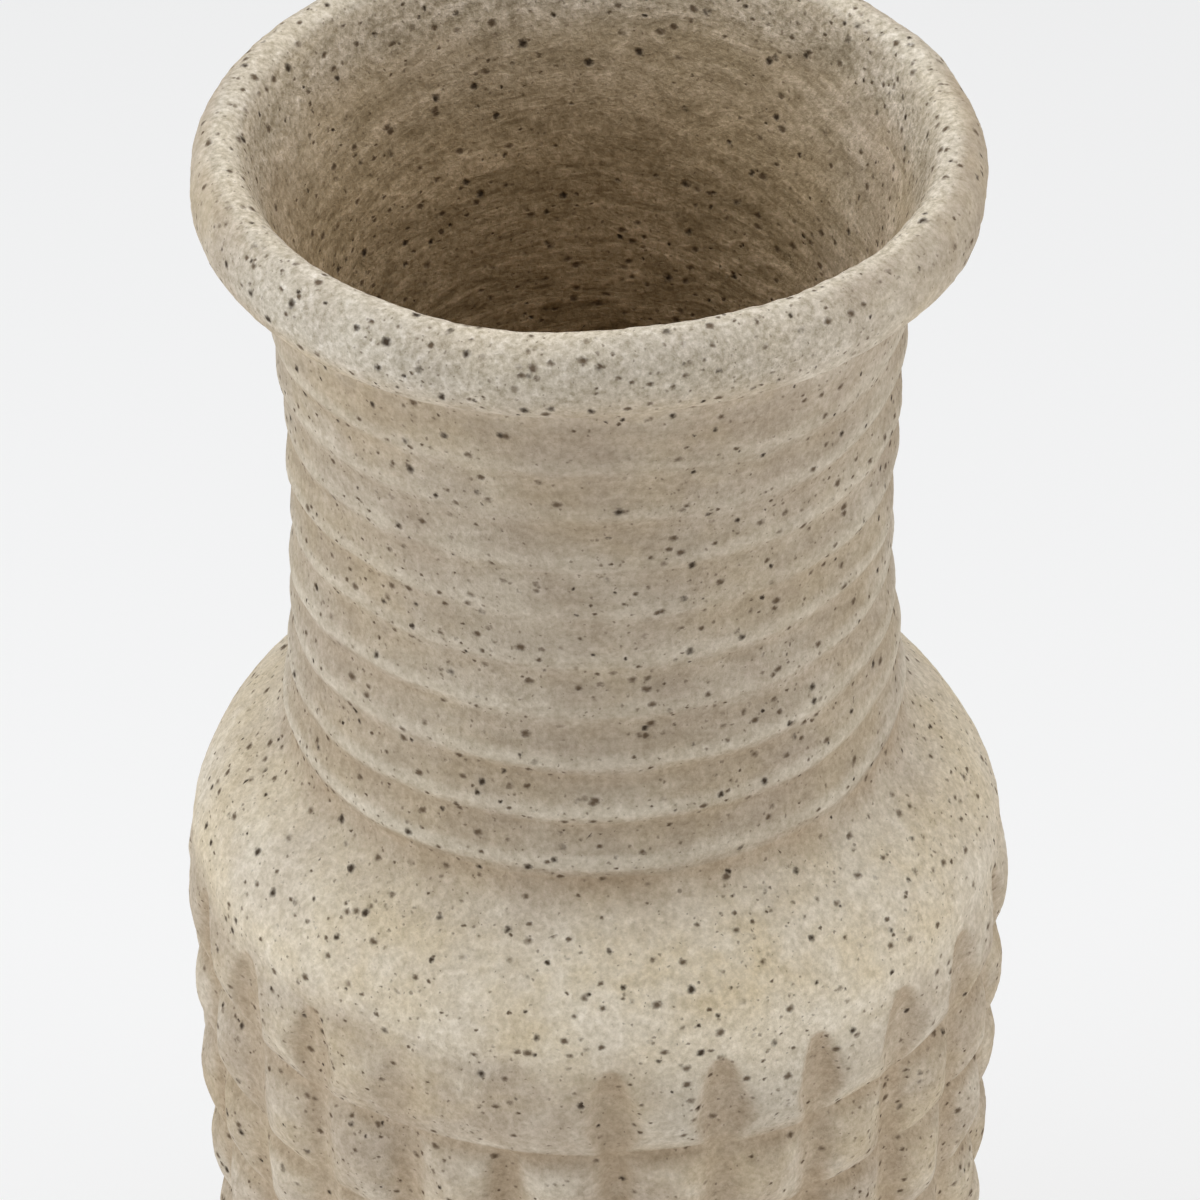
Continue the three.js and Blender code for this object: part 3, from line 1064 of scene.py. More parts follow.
def bend(start: Point, corner: Point, end: Point, steps: int) -> list[Point]:
    """Draws a smooth curve that leaves start and reaches end along the lines to a corner.

    Args:
        start: Its first point, left out of the result.
        corner: The corner.
        end: Its last point.
        steps: Points on it.

    Returns:
        The points.
    """
    t = steps_to(0.0, 1.0, steps)[:, None]
    curve = (1.0 - t) ** 2 * np.array(start) + 2.0 * t * (1.0 - t) * np.array(corner) + t * t * np.array(end)
    return [(radius, z) for radius, z in curve]


@dataclass
class ClayShell:
    """The fired clay shell: base, carved walls, shoulder, ribbed neck and rolled rim."""

    # Foot, floor and drain hole
    foot_radius: float = 132.0 * MM
    foot_chamfer: float = 4.0 * MM
    foot_ring: float = 28.0 * MM
    foot_recess: float = 6.0 * MM
    recess_flare: float = 3.0 * MM
    floor_thickness: float = 22.0 * MM
    floor_fillet: float = 16.0 * MM
    drain_radius: float = 14.0 * MM
    drain_ease: float = 1.2 * MM

    # Body
    belly_radius: float = 152.0 * MM
    belly_drop: float = 28.0 * MM
    belly_fullness: float = 1.75
    body_wall: float = 17.0 * MM

    # Pads
    columns: int = 24
    rows: int = 7
    highest_row: float = 38.5 * MM
    row_shrink: float = 0.965
    crown_row: float = 45.0 * MM
    first_groove: float = 2.0
    groove_nudge: float = 1e-6
    upright_depth: float = 9.0 * MM
    upright_luck: Point = (0.85, 1.1)
    level_depth: float = 6.0 * MM
    band_groove: float = 6.0 * MM
    pad_across: float = 1.5
    bed_start: float = 0.8
    pad_head: float = 1.6
    pad_foot: float = 1.75
    pad_wear: float = 0.9 * MM
    pad_lean: float = 0.16
    hip: float = 4.0
    stagger: float = 3.2 * MM
    stagger_join: float = 0.2

    # Crown row, whose scoops pinch in at the foot and run out to a round point
    crown_crest: float = 0.42
    crown_depth: float = 5.6 * MM
    crown_luck: Point = (0.9, 1.1)
    crown_width: float = 0.74
    width_luck: Point = (0.85, 1.1)
    least_width: float = 0.02
    crown_pinch: float = 0.66
    crown_waist: float = 0.35
    crown_tip: float = 0.9
    crown_fade: float = 0.35
    fade_power: float = 0.7
    crown_ogive: float = 0.44
    crown_round: Point = (0.1, 0.4)
    crown_edge: float = 0.72
    crown_tuck: float = 0.8 * MM
    tuck_start: Point = (0.4, 0.82)
    tuck_end: Point = (0.88, 1.0)
    faint_crown_grooves: tuple[tuple[int, float], ...] = ((-1, 0.2), (-2, 0.45))

    # Shoulder
    shoulder_undercut: float = 5.2 * MM
    shoulder_rise: float = 70.0 * MM
    shoulder_wall: float = 14.0 * MM
    shoulder_sweep: float = 64.0
    shoulder_edge: float = 0.6 * MM
    shoulder_edge_height: float = 26.0 * MM
    edge_start: Point = (-0.04, 0.1)
    edge_end: Point = (0.1, 1.0)

    # Neck, whose ribs get shallower upwards and are worn at the front
    neck_foot_radius: float = 111.9 * MM
    neck_waist_radius: float = 106.4 * MM
    neck_top_radius: float = 114.0 * MM
    neck_waist: float = 88.0 * MM
    neck_wall: float = 11.4 * MM
    ribs: int = 9
    rib_plain: float = 3.7 * MM
    low_rib: float = 3.1 * MM
    high_rib: float = 1.8 * MM
    rib_fall: float = 0.7
    rib_ledge: float = 0.3
    rib_fade: float = 6.0 * MM
    rib_even: float = 0.74
    rib_waves: Point = (3.0, 5.0)
    rib_wear: float = 0.42
    wear_front: Point = (0.62, 0.95)
    wear_height: Point = (0.22, 0.5)

    # Rolled rim
    lip_flare: float = 13.4 * MM
    lip_neck: float = 17.1 * MM
    lip_half_width: float = 10.8 * MM
    lip_half_height: float = 15.6 * MM
    lip_underside: float = -60.0
    lip_inside: float = 150.0
    throat_depth: float = 72.0 * MM

    # Unevenness of the hand and of the clay
    unevenness: tuple[Unevenness, ...] = (
        Unevenness("sway", 120.0 * MM, 8.0 * MM, direction="Z"),
        Unevenness("sidle", 70.0 * MM, 3.0 * MM, direction="X"),
        Unevenness("stray", 75.0 * MM, 3.0 * MM, direction="Y"),
        Unevenness("finger_dents", 24.0 * MM, 1.0 * MM, 2),
        Unevenness("grit", 4.5 * MM, 0.4 * MM),
    )
    lip_grit: Unevenness = Unevenness("lip_grit", 5.0 * MM, 0.8 * MM, 2)
    tinting: Tinting = Tinting()
    seed: int = 11

    # Joints and the fineness of the mesh
    seat_gap: float = 0.3 * MM
    joint_reach: float = 16.0 * MM
    steps_per_column: int = 20
    steps_per_row: int = 18
    foot_steps: int = 5
    band_steps: int = 16
    crown_steps: int = 35
    shoulder_steps: int = 26
    neck_steps: int = 121
    cove_steps: int = 12
    roll_steps: int = 49
    throat_steps: int = 30
    inside_neck_steps: int = 43
    inside_shoulder_steps: int = 14
    inside_wall_steps: int = 22
    fillet_steps: int = 8
    floor_steps: int = 6

    def __post_init__(self) -> None:
        """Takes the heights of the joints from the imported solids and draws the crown's luck."""
        self.luck = np.random.default_rng(self.seed)
        self.foot_z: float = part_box("base")[0].z
        self.floor_z = self.foot_z + self.floor_thickness
        self.recess_z = self.foot_z + self.foot_recess
        self.body_joint_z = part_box("upper_wall")[0].z - self.seat_gap
        self.shoulder_joint_z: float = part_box("upper_wall")[1].z
        self.neck_foot_z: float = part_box("neck")[0].z - self.seat_gap
        self.neck_top_z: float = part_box("rim")[0].z - self.seat_gap
        self.inside_joints = [
            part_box("base")[1].z,
            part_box("lower_wall")[1].z,
            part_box("shoulder")[0].z - self.seat_gap,
            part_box("shoulder")[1].z,
            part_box("neck")[1].z,
        ]
        self.grooves = [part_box("lower_wall")[0].z - self.seat_gap]
        for row in reversed(range(self.rows)):
            self.grooves.append(self.grooves[-1] + self.highest_row * self.row_shrink**row)
        self.belly_z = self.grooves[-1] + self.crown_row - self.belly_drop
        self.sweep_centre = self.neck_foot_radius - self.shoulder_undercut
        self.sweep_reach = self.belly_radius - self.sweep_centre
        self.lip_z = self.neck_top_z + self.lip_neck + self.lip_half_height
        self.lip_radius = self.neck_top_radius + self.lip_flare
        self.crown_depths = self.luck.uniform(*self.crown_luck, self.columns)
        for groove, share in self.faint_crown_grooves:
            self.crown_depths[groove] = share
        self.crown_widths = self.crown_width * self.luck.uniform(*self.width_luck, self.columns)

    def tapered(self, z: float) -> float:
        """Radius of the body below its widest place."""
        drop = max((self.belly_z - z) / (self.belly_z - self.foot_z), 0.0)
        return self.belly_radius - (self.belly_radius - self.foot_radius) * drop**self.belly_fullness

    def swept(self, z: float, reach: float, rise: float) -> float:
        """Radius of an elliptical sweep above the widest place."""
        climb = (z - self.belly_z) / rise
        return self.sweep_centre + reach * math.sqrt(max(1.0 - climb * climb, 0.0))

    def outside_radius(self, z: float) -> float:
        """Radius of the body's outside over the crests of its pads."""
        return self.tapered(z) if z < self.belly_z else self.swept(z, self.sweep_reach, self.shoulder_rise)

    def inside_radius(self, z: float) -> float:
        """Radius of the body's inside."""
        if z < self.belly_z:
            return self.tapered(z) - self.body_wall
        return self.swept(z, self.sweep_reach - self.body_wall, self.shoulder_rise - self.shoulder_wall)

    def neck_radius(self, z: float) -> float:
        """Works out the radius of the neck's outside between its ribs.

        Args:
            z: The height.

        Returns:
            The radius.
        """
        waist_z = self.neck_foot_z + self.neck_waist
        if z > waist_z:
            end_radius, end_z = self.neck_top_radius, self.neck_top_z
        else:
            end_radius, end_z = self.neck_foot_radius, self.neck_foot_z
        away = (z - waist_z) / (end_z - waist_z)
        return self.neck_waist_radius + (end_radius - self.neck_waist_radius) * away * away

    def inside_neck_radius(self, z: float) -> float:
        """Radius of the neck's inside."""
        return self.neck_radius(z) - self.neck_wall

    def sweep(self, from_z: float, reach: float, rise: float, end: Point, steps: int) -> list[Point]:
        """Draws the shoulder's sweep and the hollow curve that ends upright at the neck.

        Args:
            from_z: Height where it starts.
            reach: Half width of the sweep.
            rise: Half height of the sweep.
            end: Where it ends.
            steps: Points on the sweep.

        Returns:
            The points, upwards.
        """
        first = math.asin((from_z - self.belly_z) / rise)
        last = math.radians(self.shoulder_sweep)
        arc = []
        for angle in np.linspace(first, last, steps + 1):
            arc.append((self.sweep_centre + reach * math.cos(angle), self.belly_z + rise * math.sin(angle)))
        radius, z = arc[-1]
        corner = (end[0], z + (radius - end[0]) * rise / (reach * math.tan(last)))
        return arc + bend(arc[-1], corner, end, steps // 2)

    def draw_foot(self, line: Outline) -> None:
        """Draws the underside, from the drain hole to the foot's edge, and the plain band above it.

        Args:
            line: The outline.
        """
        foot_edge = (self.foot_radius - self.foot_chamfer, self.foot_z)
        ring_inner = foot_edge[0] - self.foot_ring
        hole_edge = self.drain_radius + self.drain_ease
        line.run([(self.drain_radius, self.recess_z + self.drain_ease)])
        flats = ((hole_edge, ring_inner - self.recess_flare, self.recess_z), (ring_inner, *foot_edge))
        for start, end, z in flats:
            line.run([(radius, z) for radius in np.linspace(start, end, self.foot_steps)])
        chamfer_z = self.foot_z + self.foot_chamfer
        chamfer_end = (self.tapered(chamfer_z), chamfer_z)
        line.run(bend(foot_edge, (self.foot_radius, self.foot_z), chamfer_end, self.foot_steps))
        line.end()
        line.rise(self.tapered, self.grooves[0], self.band_steps)
        line.end()

    def draw_body(self, line: Outline) -> None:
        """Draws the carved walls over the crests of their pads, then the shoulder.

        Args:
            line: The outline.
        """
        for groove in self.grooves[1:]:
            line.rise(self.outside_radius, groove, self.steps_per_row)
            if abs(groove - self.body_joint_z) < self.seat_gap:
                line.end()
        line.rise(self.outside_radius, self.shoulder_joint_z, self.crown_steps)
        line.end()
        neck = (self.neck_foot_radius, self.neck_foot_z)
        size = (self.sweep_reach, self.shoulder_rise)
        arc = self.sweep(self.shoulder_joint_z, *size, neck, self.shoulder_steps)
        line.run(arc[1:])
        line.end()

    def draw_neck_and_rim(self, line: Outline) -> None:
        """Draws the neck, the rolled rim, the throat inside it and the inside of the neck.

        Args:
            line: The outline.
        """
        line.rise(self.neck_radius, self.neck_top_z, self.neck_steps)
        line.end()
        roll = []
        for angle in np.radians(np.linspace(self.lip_underside, self.lip_inside, self.roll_steps + 1)):
            radius = self.lip_radius + self.lip_half_width * math.cos(angle)
            roll.append((radius, self.lip_z + self.lip_half_height * math.sin(angle)))
        cove = (self.neck_top_radius, self.lip_z - self.lip_half_height)
        line.run(bend(line.last, cove, roll[0], self.cove_steps) + roll[1:])
        line.end()
        throat_z = self.lip_z - self.throat_depth
        throat_foot = (self.inside_neck_radius(throat_z), throat_z)
        lean = math.radians(self.lip_inside)
        drop = self.lip_half_height * math.cos(lean) / (self.lip_half_width * math.sin(lean))
        corner = (throat_foot[0], line.last[1] + (line.last[0] - throat_foot[0]) * drop)
        throat = bend(line.last, corner, throat_foot, self.throat_steps)
        line.run([point for point in throat if point[1] >= self.inside_joints[4]])
        line.end()
        line.run([point for point in throat if point[1] < self.inside_joints[4]])
        line.rise(self.inside_neck_radius, self.inside_joints[3], self.inside_neck_steps)
        line.end()

    def draw_inside(self, line: Outline) -> None:
        """Draws the inside of the body down to the floor and the edge of the drain hole.

        Args:
            line: The outline.
        """
        neck = (line.last[0], self.inside_joints[3])
        size = (self.sweep_reach - self.body_wall, self.shoulder_rise - self.shoulder_wall)
        arc = self.sweep(self.inside_joints[2], *size, neck, self.inside_shoulder_steps)
        line.run(arc[-2::-1])
        line.end()
        for joint in self.inside_joints[1::-1]:
            line.rise(self.inside_radius, joint, self.inside_wall_steps)
            line.end()
        fillet_z = self.floor_z + self.floor_fillet
        wall = (self.inside_radius(fillet_z), fillet_z)
        floor_edge = (wall[0] - self.floor_fillet, self.floor_z)
        line.run([wall] + bend(wall, (wall[0], self.floor_z), floor_edge, self.fillet_steps))
        hole_edge = self.drain_radius + self.drain_ease
        line.run([(radius, self.floor_z) for radius in steps_to(floor_edge[0], hole_edge, self.floor_steps)])
        line.run([(self.drain_radius, self.floor_z - self.drain_ease)])
        line.end()

    def outline(self) -> Outline:
        """Draws the closed outline: under the foot, up the outside, over the lip and down the inside.

        Returns:
            The outline, with the end of each stretch.
        """
        line = Outline()
        self.draw_foot(line)
        self.draw_body(line)
        self.draw_neck_and_rim(line)
        self.draw_inside(line)
        return line

    def column_at(self, turn: np.ndarray) -> tuple[np.ndarray, np.ndarray]:
        """Counts the pads from the first groove to some angles.

        Args:
            turn: The angles.

        Returns:
            The whole pads, and the share of the next one.
        """
        column = (turn - self.first_groove) / (360.0 / self.columns)
        pad = np.floor(column + self.groove_nudge).astype(int)
        return pad, column - pad

    def pads_at(self, turn: np.ndarray) -> tuple[np.ndarray, np.ndarray, np.ndarray]:
        """Finds the pads at angles round the pot.

        Args:
            turn: The angles.

        Returns:
            The pad's number, the place across it from -1 to 1, and the number of the nearer groove.
        """
        pad, part = self.column_at(turn)
        across = 2.0 * part - 1.0
        return pad % self.columns, across, (pad + (across > 0.0)) % self.columns

    def crown_climb(self, z: np.ndarray) -> np.ndarray:
        """Gives the share of the crown row below some heights."""
        return np.clip((z - self.grooves[-1]) / (self.shoulder_joint_z - self.grooves[-1]), 0.0, 1.0)

    def crown_flank(self, across: np.ndarray, side: np.ndarray, climb: np.ndarray) -> np.ndarray:
        """Shapes the crown's scoops.

        Args:
            across: Places across the pads, from -1 to 1.
            side: Numbers of the nearer grooves.
            climb: Shares of the crown row below.

        Returns:
            The place in a scoop, from 0 at its edge or beyond to 1 in its middle.
        """
        left = np.clip((self.crown_tip - climb) / (self.crown_tip - self.crown_waist), 0.0, 1.0)
        leaf = left**self.crown_ogive
        pinched = self.crown_pinch + (1.0 - self.crown_pinch) * smoothstep(0.0, self.crown_waist, climb)
        width = np.maximum(self.crown_widths[side] * leaf * pinched, self.least_width)
        return smoothstep(*self.crown_round, leaf) * np.maximum(np.abs(across) - 1.0 + width, 0.0) / width

    def trough(self, across: np.ndarray) -> np.ndarray:
        """Shapes an upright groove: a pad's rounded flank, then a rounded bed.

        Args:
            across: Distance from the pad's middle, as a share of its half width.

        Returns:
            The depth, as a share of what a sharp groove would reach.
        """
        start = self.bed_start
        steep = self.pad_across * start ** (self.pad_across - 1.0)
        into = np.clip(across - start, 0.0, 1.0 - start)
        bed = start**self.pad_across + steep * (into - into**2 / (2.0 * (1.0 - start)))
        return np.where(across < start, across**self.pad_across, bed)

    def hipped(self, *depths: np.ndarray) -> np.ndarray:
        """Joins the depths of a pad's flanks and its crest along soft hips."""
        return sum(depth**self.hip for depth in depths) ** (1.0 / self.hip)

    def pad_depth(self, turn: np.ndarray, z: np.ndarray) -> np.ndarray:
        """Works out how deep the carving lies below the crests of the pads.

        Args:
            turn: Angles round the pot.
            z: Heights.

        Returns:
            The depths.
        """
        pad, across, side = self.pads_at(turn)
        depth = np.zeros_like(z)
        for low, high in zip(self.grooves, self.grooves[1:]):
            here = (z >= low) & (z < high)
            up = 2.0 * (z[here] - low) / (high - low) - 1.0
            deep = self.luck.uniform(*self.upright_luck, self.columns)[side[here]]
            worn = self.luck.uniform(0.0, self.pad_wear, self.columns)[pad[here]]
            lean = self.luck.uniform(-self.pad_lean, self.pad_lean, (2, self.columns))[:, pad[here]]
            off_across = across[here] + lean[0] * (1.0 - across[here] ** 2)
            off_up = up + lean[1] * (1.0 - up**2)
            upright = self.upright_depth * deep * self.trough(np.abs(off_across))
            level = self.level_depth * np.abs(off_up) ** np.where(off_up > 0.0, self.pad_head, self.pad_foot)
            depth[here] = self.hipped(upright, level, worn)
        top = z >= self.grooves[-1]
        climb = self.crown_climb(z[top])
        fade = np.clip((self.crown_tip - climb) / self.crown_fade, 0.0, 1.0) ** self.fade_power
        scoop = smoothstep(0.0, self.crown_edge, self.crown_flank(across[top], side[top], climb))
        upright = self.crown_depth * self.crown_depths[side[top]] * fade * scoop
        level = self.level_depth * np.clip(1.0 - climb / self.crown_crest, 0.0, 1.0) ** self.pad_foot
        tucked = smoothstep(*self.tuck_start, climb) * (1.0 - smoothstep(*self.tuck_end, climb))
        depth[top] = self.hipped(upright, level, self.crown_tuck * tucked)
        return depth

    def staggered(self, turn: np.ndarray, z: np.ndarray) -> np.ndarray:
        """Works out how far each pad's level grooves stray up or down from their neighbours'.

        Args:
            turn: Angles round the pot.
            z: Heights.

        Returns:
            The shares of the stagger, from -1 to 1.
        """
        strays = self.luck.uniform(-1.0, 1.0, (len(self.grooves) + 1, self.columns))
        strays[[0, -1]] = 0.0
        marks = np.array(self.grooves + [self.shoulder_joint_z])
        level = np.clip(np.searchsorted(marks, z) - 1, 0, len(self.grooves) - 1)
        climb = np.clip((z - marks[level]) / (marks[level + 1] - marks[level]), 0.0, 1.0)
        pad, part = self.column_at(turn)
        join = self.stagger_join
        lean = 0.5 * (smoothstep(1.0 - join, 1.0, part) - smoothstep(join, 0.0, part))
        found = []
        for which in (pad, pad + np.sign(lean).astype(int)):
            low, high = strays[level, which % self.columns], strays[level + 1, which % self.columns]
            found.append(low * (1.0 - climb) + high * climb)
        return found[0] + (found[1] - found[0]) * np.abs(lean)

    def ribbing(self, turn: np.ndarray, z: np.ndarray) -> tuple[np.ndarray, np.ndarray]:
        """Works out the neck's ribs.

        Args:
            turn: Angles round the pot.
            z: Heights.

        Returns:
            The ribs' profile, from 0 at a root to 1 at a crest, and how bold they are, from 0 to 1.
        """
        height = self.neck_top_z - self.neck_foot_z
        angle = np.radians(turn)
        place = (z - self.neck_foot_z) / ((height - self.rib_plain) / self.ribs)
        rib = np.clip(np.floor(place).astype(int), 0, self.ribs)
        up = place - np.floor(place)
        back = np.clip((up - self.rib_ledge) / (1.0 - self.rib_ledge), 0.0, 1.0)
        swell = smoothstep(0.0, self.rib_ledge, up) * (1.0 - 0.5 * back - 0.5 * smoothstep(0.0, 1.0, back))
        phases = self.luck.uniform(0.0, 2.0 * math.pi, (2, self.ribs + 1))
        waves = [np.sin(count * angle + phase[rib]) for count, phase in zip(self.rib_waves, phases)]
        uneven = self.rib_even + (1.0 - self.rib_even) * waves[0] * waves[1]
        high = (z - self.neck_foot_z) / height
        bold = 1.0 + (self.high_rib / self.low_rib - 1.0) * np.clip(high, 0.0, 1.0) ** self.rib_fall
        worn = smoothstep(*self.wear_front, np.cos(angle)) * smoothstep(*self.wear_height, high)
        bold *= 1.0 - self.rib_wear * worn
        return swell, uneven * bold * smoothstep(0.0, self.rib_fade, self.neck_top_z - z)

    def groove_darkening(self, turn: np.ndarray, z: np.ndarray) -> np.ndarray:
        """Works out where the pads are painted darker: in the upright grooves and the scoops, and as painted
        shadow under each level groove.

        Args:
            turn: Angles round the pot.
            z: Heights.

        Returns:
            The cover, from 0 to 1.
        """
        look = self.tinting
        _, across, side = self.pads_at(turn)
        upright = smoothstep(*look.dark_flank, np.abs(across))
        below = np.array(self.grooves[1:]) - z[:, None]
        spill = smoothstep(-look.under_shade_spill, 0.0, below)
        # Painted shadow under each level groove, where the pad above overhangs
        under = np.where(below >= 0.0, smoothstep(*look.under_shade_run, below), spill).max(axis=1)
        flank = self.crown_flank(across, side, self.crown_climb(z))
        scoop = np.minimum(self.crown_depths[side], 1.0) * smoothstep(0.0, look.dark_scoop, flank)
        return np.maximum(np.where(z > self.grooves[-1], scoop, upright), under)

    def build(self, clay: bpy.types.Material) -> list[bpy.types.Object]:
        """Models the shell, parts it into its sections and dresses them.

        Args:
            clay: The finish.

        Returns:
            The six pieces.
        """
        line = self.outline()
        shell = trace_outline("shell", line.points, math.radians(self.first_groove - 90.0), closed=True)
        keep(shell, ALONG, np.arange(len(line.points)))
        spin_outline(shell, self.steps_per_column, self.columns)
        skin = Surface.of(shell, line)
        self.sort_faces(shell, line, skin)
        self.carve(shell, line, skin)
        apply_modifiers(shell)
        return [self.close(piece, section, clay) for section, piece in self.part(shell).items()]

    def carve(self, shell: bpy.types.Object, line: Outline, skin: Surface) -> None:
        """Lays the carving, the ribs and the clay's unevenness on the shell as displacements, and tints it.

        Args:
            shell: The spun shell.
            line: Its outline.
            skin: Where its vertices lie.
        """
        depth, stray, swell, bold, groove = np.zeros((5, len(skin.z)))
        pads = skin.on(Stretch.LOWER_PADS, Stretch.UPPER_PADS)
        on_pads = skin.turn[pads], skin.z[pads]
        depth[pads] = self.pad_depth(*on_pads)
        band = skin.on(Stretch.FOOT_BAND)
        band_top = self.grooves[0]
        depth[band] = self.level_depth * smoothstep(band_top - self.band_groove, band_top, skin.z[band])
        deepest = float(depth.max())
        push(shell, "carving", -deepest, depth / deepest)

        stray[pads] = self.staggered(*on_pads)
        push(shell, "stagger_up", self.stagger, np.clip(stray, 0.0, 1.0), "Z")
        push(shell, "stagger_down", -self.stagger, np.clip(-stray, 0.0, 1.0), "Z")

        above = (skin.z - self.shoulder_joint_z) / self.shoulder_edge_height
        edge = smoothstep(*self.edge_start, above) * (1.0 - smoothstep(*self.edge_end, above))
        push(shell, "shoulder_edge", self.shoulder_edge, edge * (skin.stretch <= Stretch.SHOULDER.order))

        neck = skin.on(Stretch.NECK)
        swell[neck], bold[neck] = self.ribbing(skin.turn[neck], skin.z[neck])
        push(shell, "throwing_ribs", self.low_rib, swell * bold)

        weigh(shell, "free", smoothstep(self.grooves[0], self.grooves[1], skin.z))
        for unevenness in self.unevenness:
            unevenness.roughen(shell, "free")
        lip_foot = self.lip_z - self.lip_half_height
        weigh(shell, "rolled", smoothstep(lip_foot, lip_foot + 0.5 * self.lip_half_height, skin.z))
        self.lip_grit.roughen(shell, "rolled")

        groove[pads] = self.groove_darkening(*on_pads)
        tints = self.tint_walls(skin, groove, swell, bold)
        for paint, values in self.tint_lip(line, skin).items():
            tints[paint] = np.maximum(tints.get(paint, 0.0), values)
        for paint, values in tints.items():
            keep(shell, paint.value, values)

    def tint_walls(
        self, skin: Surface, groove: np.ndarray, swell: np.ndarray, bold: np.ndarray
    ) -> dict[Paint, np.ndarray]:
        """Works out the tints of the pads, the shoulder and the ribs, with their painted shade and painted
        light.

        Args:
            skin: Where the vertices lie.
            groove: Where the pads are painted darker, in their grooves and as painted shadow under the level
                grooves.
            swell: The ribs' profile.
            bold: How bold the ribs are.

        Returns:
            The tints.
        """
        look = self.tinting
        # Slip with painted shade at the ribs' roots, and painted shadow at the neck's foot
        root = look.root_slip_shade * smoothstep(look.root_height, 0.0, swell) * bold
        under_neck = smoothstep(self.neck_foot_z - look.neck_shade, self.neck_foot_z, skin.z)
        root = np.where(skin.on(Stretch.SHOULDER), under_neck, root)
        above = skin.z - self.shoulder_joint_z
        # Painted light on the shoulder, further down on the lit right and front right, less on the shaded
        # left front, fading towards the back
        lit_front_right = look.lit_front_right.cover(skin.turn)
        shaded_side = look.shaded_side.cover(skin.turn)
        reach = look.shelf_reach + look.lit_reach * look.lit_side.cover(skin.turn)
        reach += look.lit_front_reach * lit_front_right - look.shaded_reach * shaded_side
        facing = smoothstep(*look.light_facing, np.cos(np.radians(skin.turn)))
        shelf = smoothstep(0.0, 1.0, (above + reach) / (reach + look.shelf_ease))
        shelf *= (1.0 - groove) * (1.0 - look.shade_loss * shaded_side)
        shelf *= 1.0 - smoothstep(look.shelf_height, self.neck_foot_z - self.shoulder_joint_z, above)
        shelf *= look.light_at_back + (1.0 - look.light_at_back) * facing
        # Painted light on the front-right crown pads
        washed = smoothstep(0.0, look.lit_crown_foot, skin.z - self.grooves[-1]) * lit_front_right * (1.0 - groove)
        washed *= 1.0 - smoothstep(*look.lit_crown_head, above)
        return {
            Paint.HOLLOW: np.maximum(groove, root),
            # Painted highlight along the rib crests
            Paint.RIDGE: smoothstep(*look.ridge_height, swell) * bold,
            Paint.SHELF: shelf,
            Paint.WASHED: washed * (skin.stretch <= Stretch.SHOULDER.order),
        }

    def tint_lip(self, line: Outline, skin: Surface) -> dict[Paint, np.ndarray]:
        """Works out the tints of the lip and of the inside, with their painted shade and painted highlight.

        Args:
            line: The outline.
            skin: Where the vertices lie.

        Returns:
            The tints.
        """
        look = self.tinting
        crest = line.ends[Stretch.ROLL.order] - look.crest_to_end
        shade_end = line.ends[Stretch.THROAT.order] + look.shade_run - crest
        past = skin.along - crest
        # Painted highlight along the lip's inner brink
        brink = smoothstep(*look.brink_rise, past) * smoothstep(*look.brink_fall, past)
        # Painted shade on the lip's outer right and left sides
        right = look.lip_right_shade.cover(skin.turn) * (1.0 - smoothstep(*look.right_fade, past))
        left = look.lip_left_shade.cover(skin.turn) * (1.0 - smoothstep(*look.left_fade, past))
        lip_shade = np.maximum(right, left)
        pale = smoothstep(self.lip_z - look.lip_foot * self.lip_half_height, self.lip_z, skin.z)
        # Painted shade inside from the brink down; less of it on the right, where painted light falls in
        near_right = look.throat_right.cover(skin.turn)
        first_shade = look.brink_shade * smoothstep(*look.brink_drop, past)
        inside = np.maximum(smoothstep(0, shade_end, past), first_shade)
        inside *= 1.0 - look.right_light * near_right
        hidden = skin.stretch >= Stretch.THROAT.order
        # Painted shade: inside, less of it on the right, and on the lip's outer sides
        shaded = look.inside_shade * inside * (1.0 - look.right_clear * near_right)
        thrown = np.where(hidden, shaded, look.outer_shade * lip_shade * pale)
        deep = smoothstep(self.neck_top_z, self.neck_top_z - look.smear_depth, skin.z)
        return {
            Paint.INSIDE: inside,
            # Painted highlight along the lip's inner brink
            Paint.SHELF: look.brink_highlight * brink,
            # Pale lip, less pale where shade is painted on its sides
            Paint.LIP: pale * (1.0 - lip_shade),
            Paint.THROWN: np.where(skin.on(Stretch.NECK), look.neck_shadow, thrown),
            Paint.SMEARED: np.where(hidden, look.smear + look.deep_smear * deep, 0.0),
        }

    @staticmethod
    def sort_faces(shell: bpy.types.Object, line: Outline, skin: Surface) -> None:
        """Gives each face the number of its section, as its material slot.

        Args:
            shell: The spun shell.
            line: Its outline.
            skin: Where its vertices lie.
        """
        sections = list(Section)
        for section in sections:
            shell.data.materials.append(bpy.data.materials.new(section.value))
        corners = np.empty(len(shell.data.loops), np.int32)
        shell.data.loops.foreach_get("vertex_index", corners)
        starts = np.empty(len(shell.data.polygons), np.int32)
        shell.data.polygons.foreach_get("loop_start", starts)
        first = np.minimum.reduceat(skin.along[corners], starts)
        last = np.maximum.reduceat(skin.along[corners], starts)
        stretch = np.searchsorted(line.ends, 0.5 * (first + last))
        # The faces that close the outline join its last point to its first
        stretch[last - first > 1.5] = Stretch.FLOOR.order
        numbers = np.array([sections.index(part.section) for part in Stretch], np.int32)
        shell.data.polygons.foreach_set("material_index", numbers[stretch])

    @staticmethod
    def part(shell: bpy.types.Object) -> dict[Section, bpy.types.Object]:
        """Parts the shell into its sections.

        Args:
            shell: The finished shell.

        Returns:
            The piece of each section, still open at its joints.
        """
        select_only(shell)
        with edit_mode():
            bpy.ops.mesh.select_all(action="SELECT")
            bpy.ops.mesh.separate(type="MATERIAL")
        parted = {}
        for piece in list(bpy.context.selected_objects):
            slot = piece.material_slots[piece.data.polygons[0].material_index]
            parted[Section(slot.material.name)] = piece
        return {section: parted[section] for section in Section}

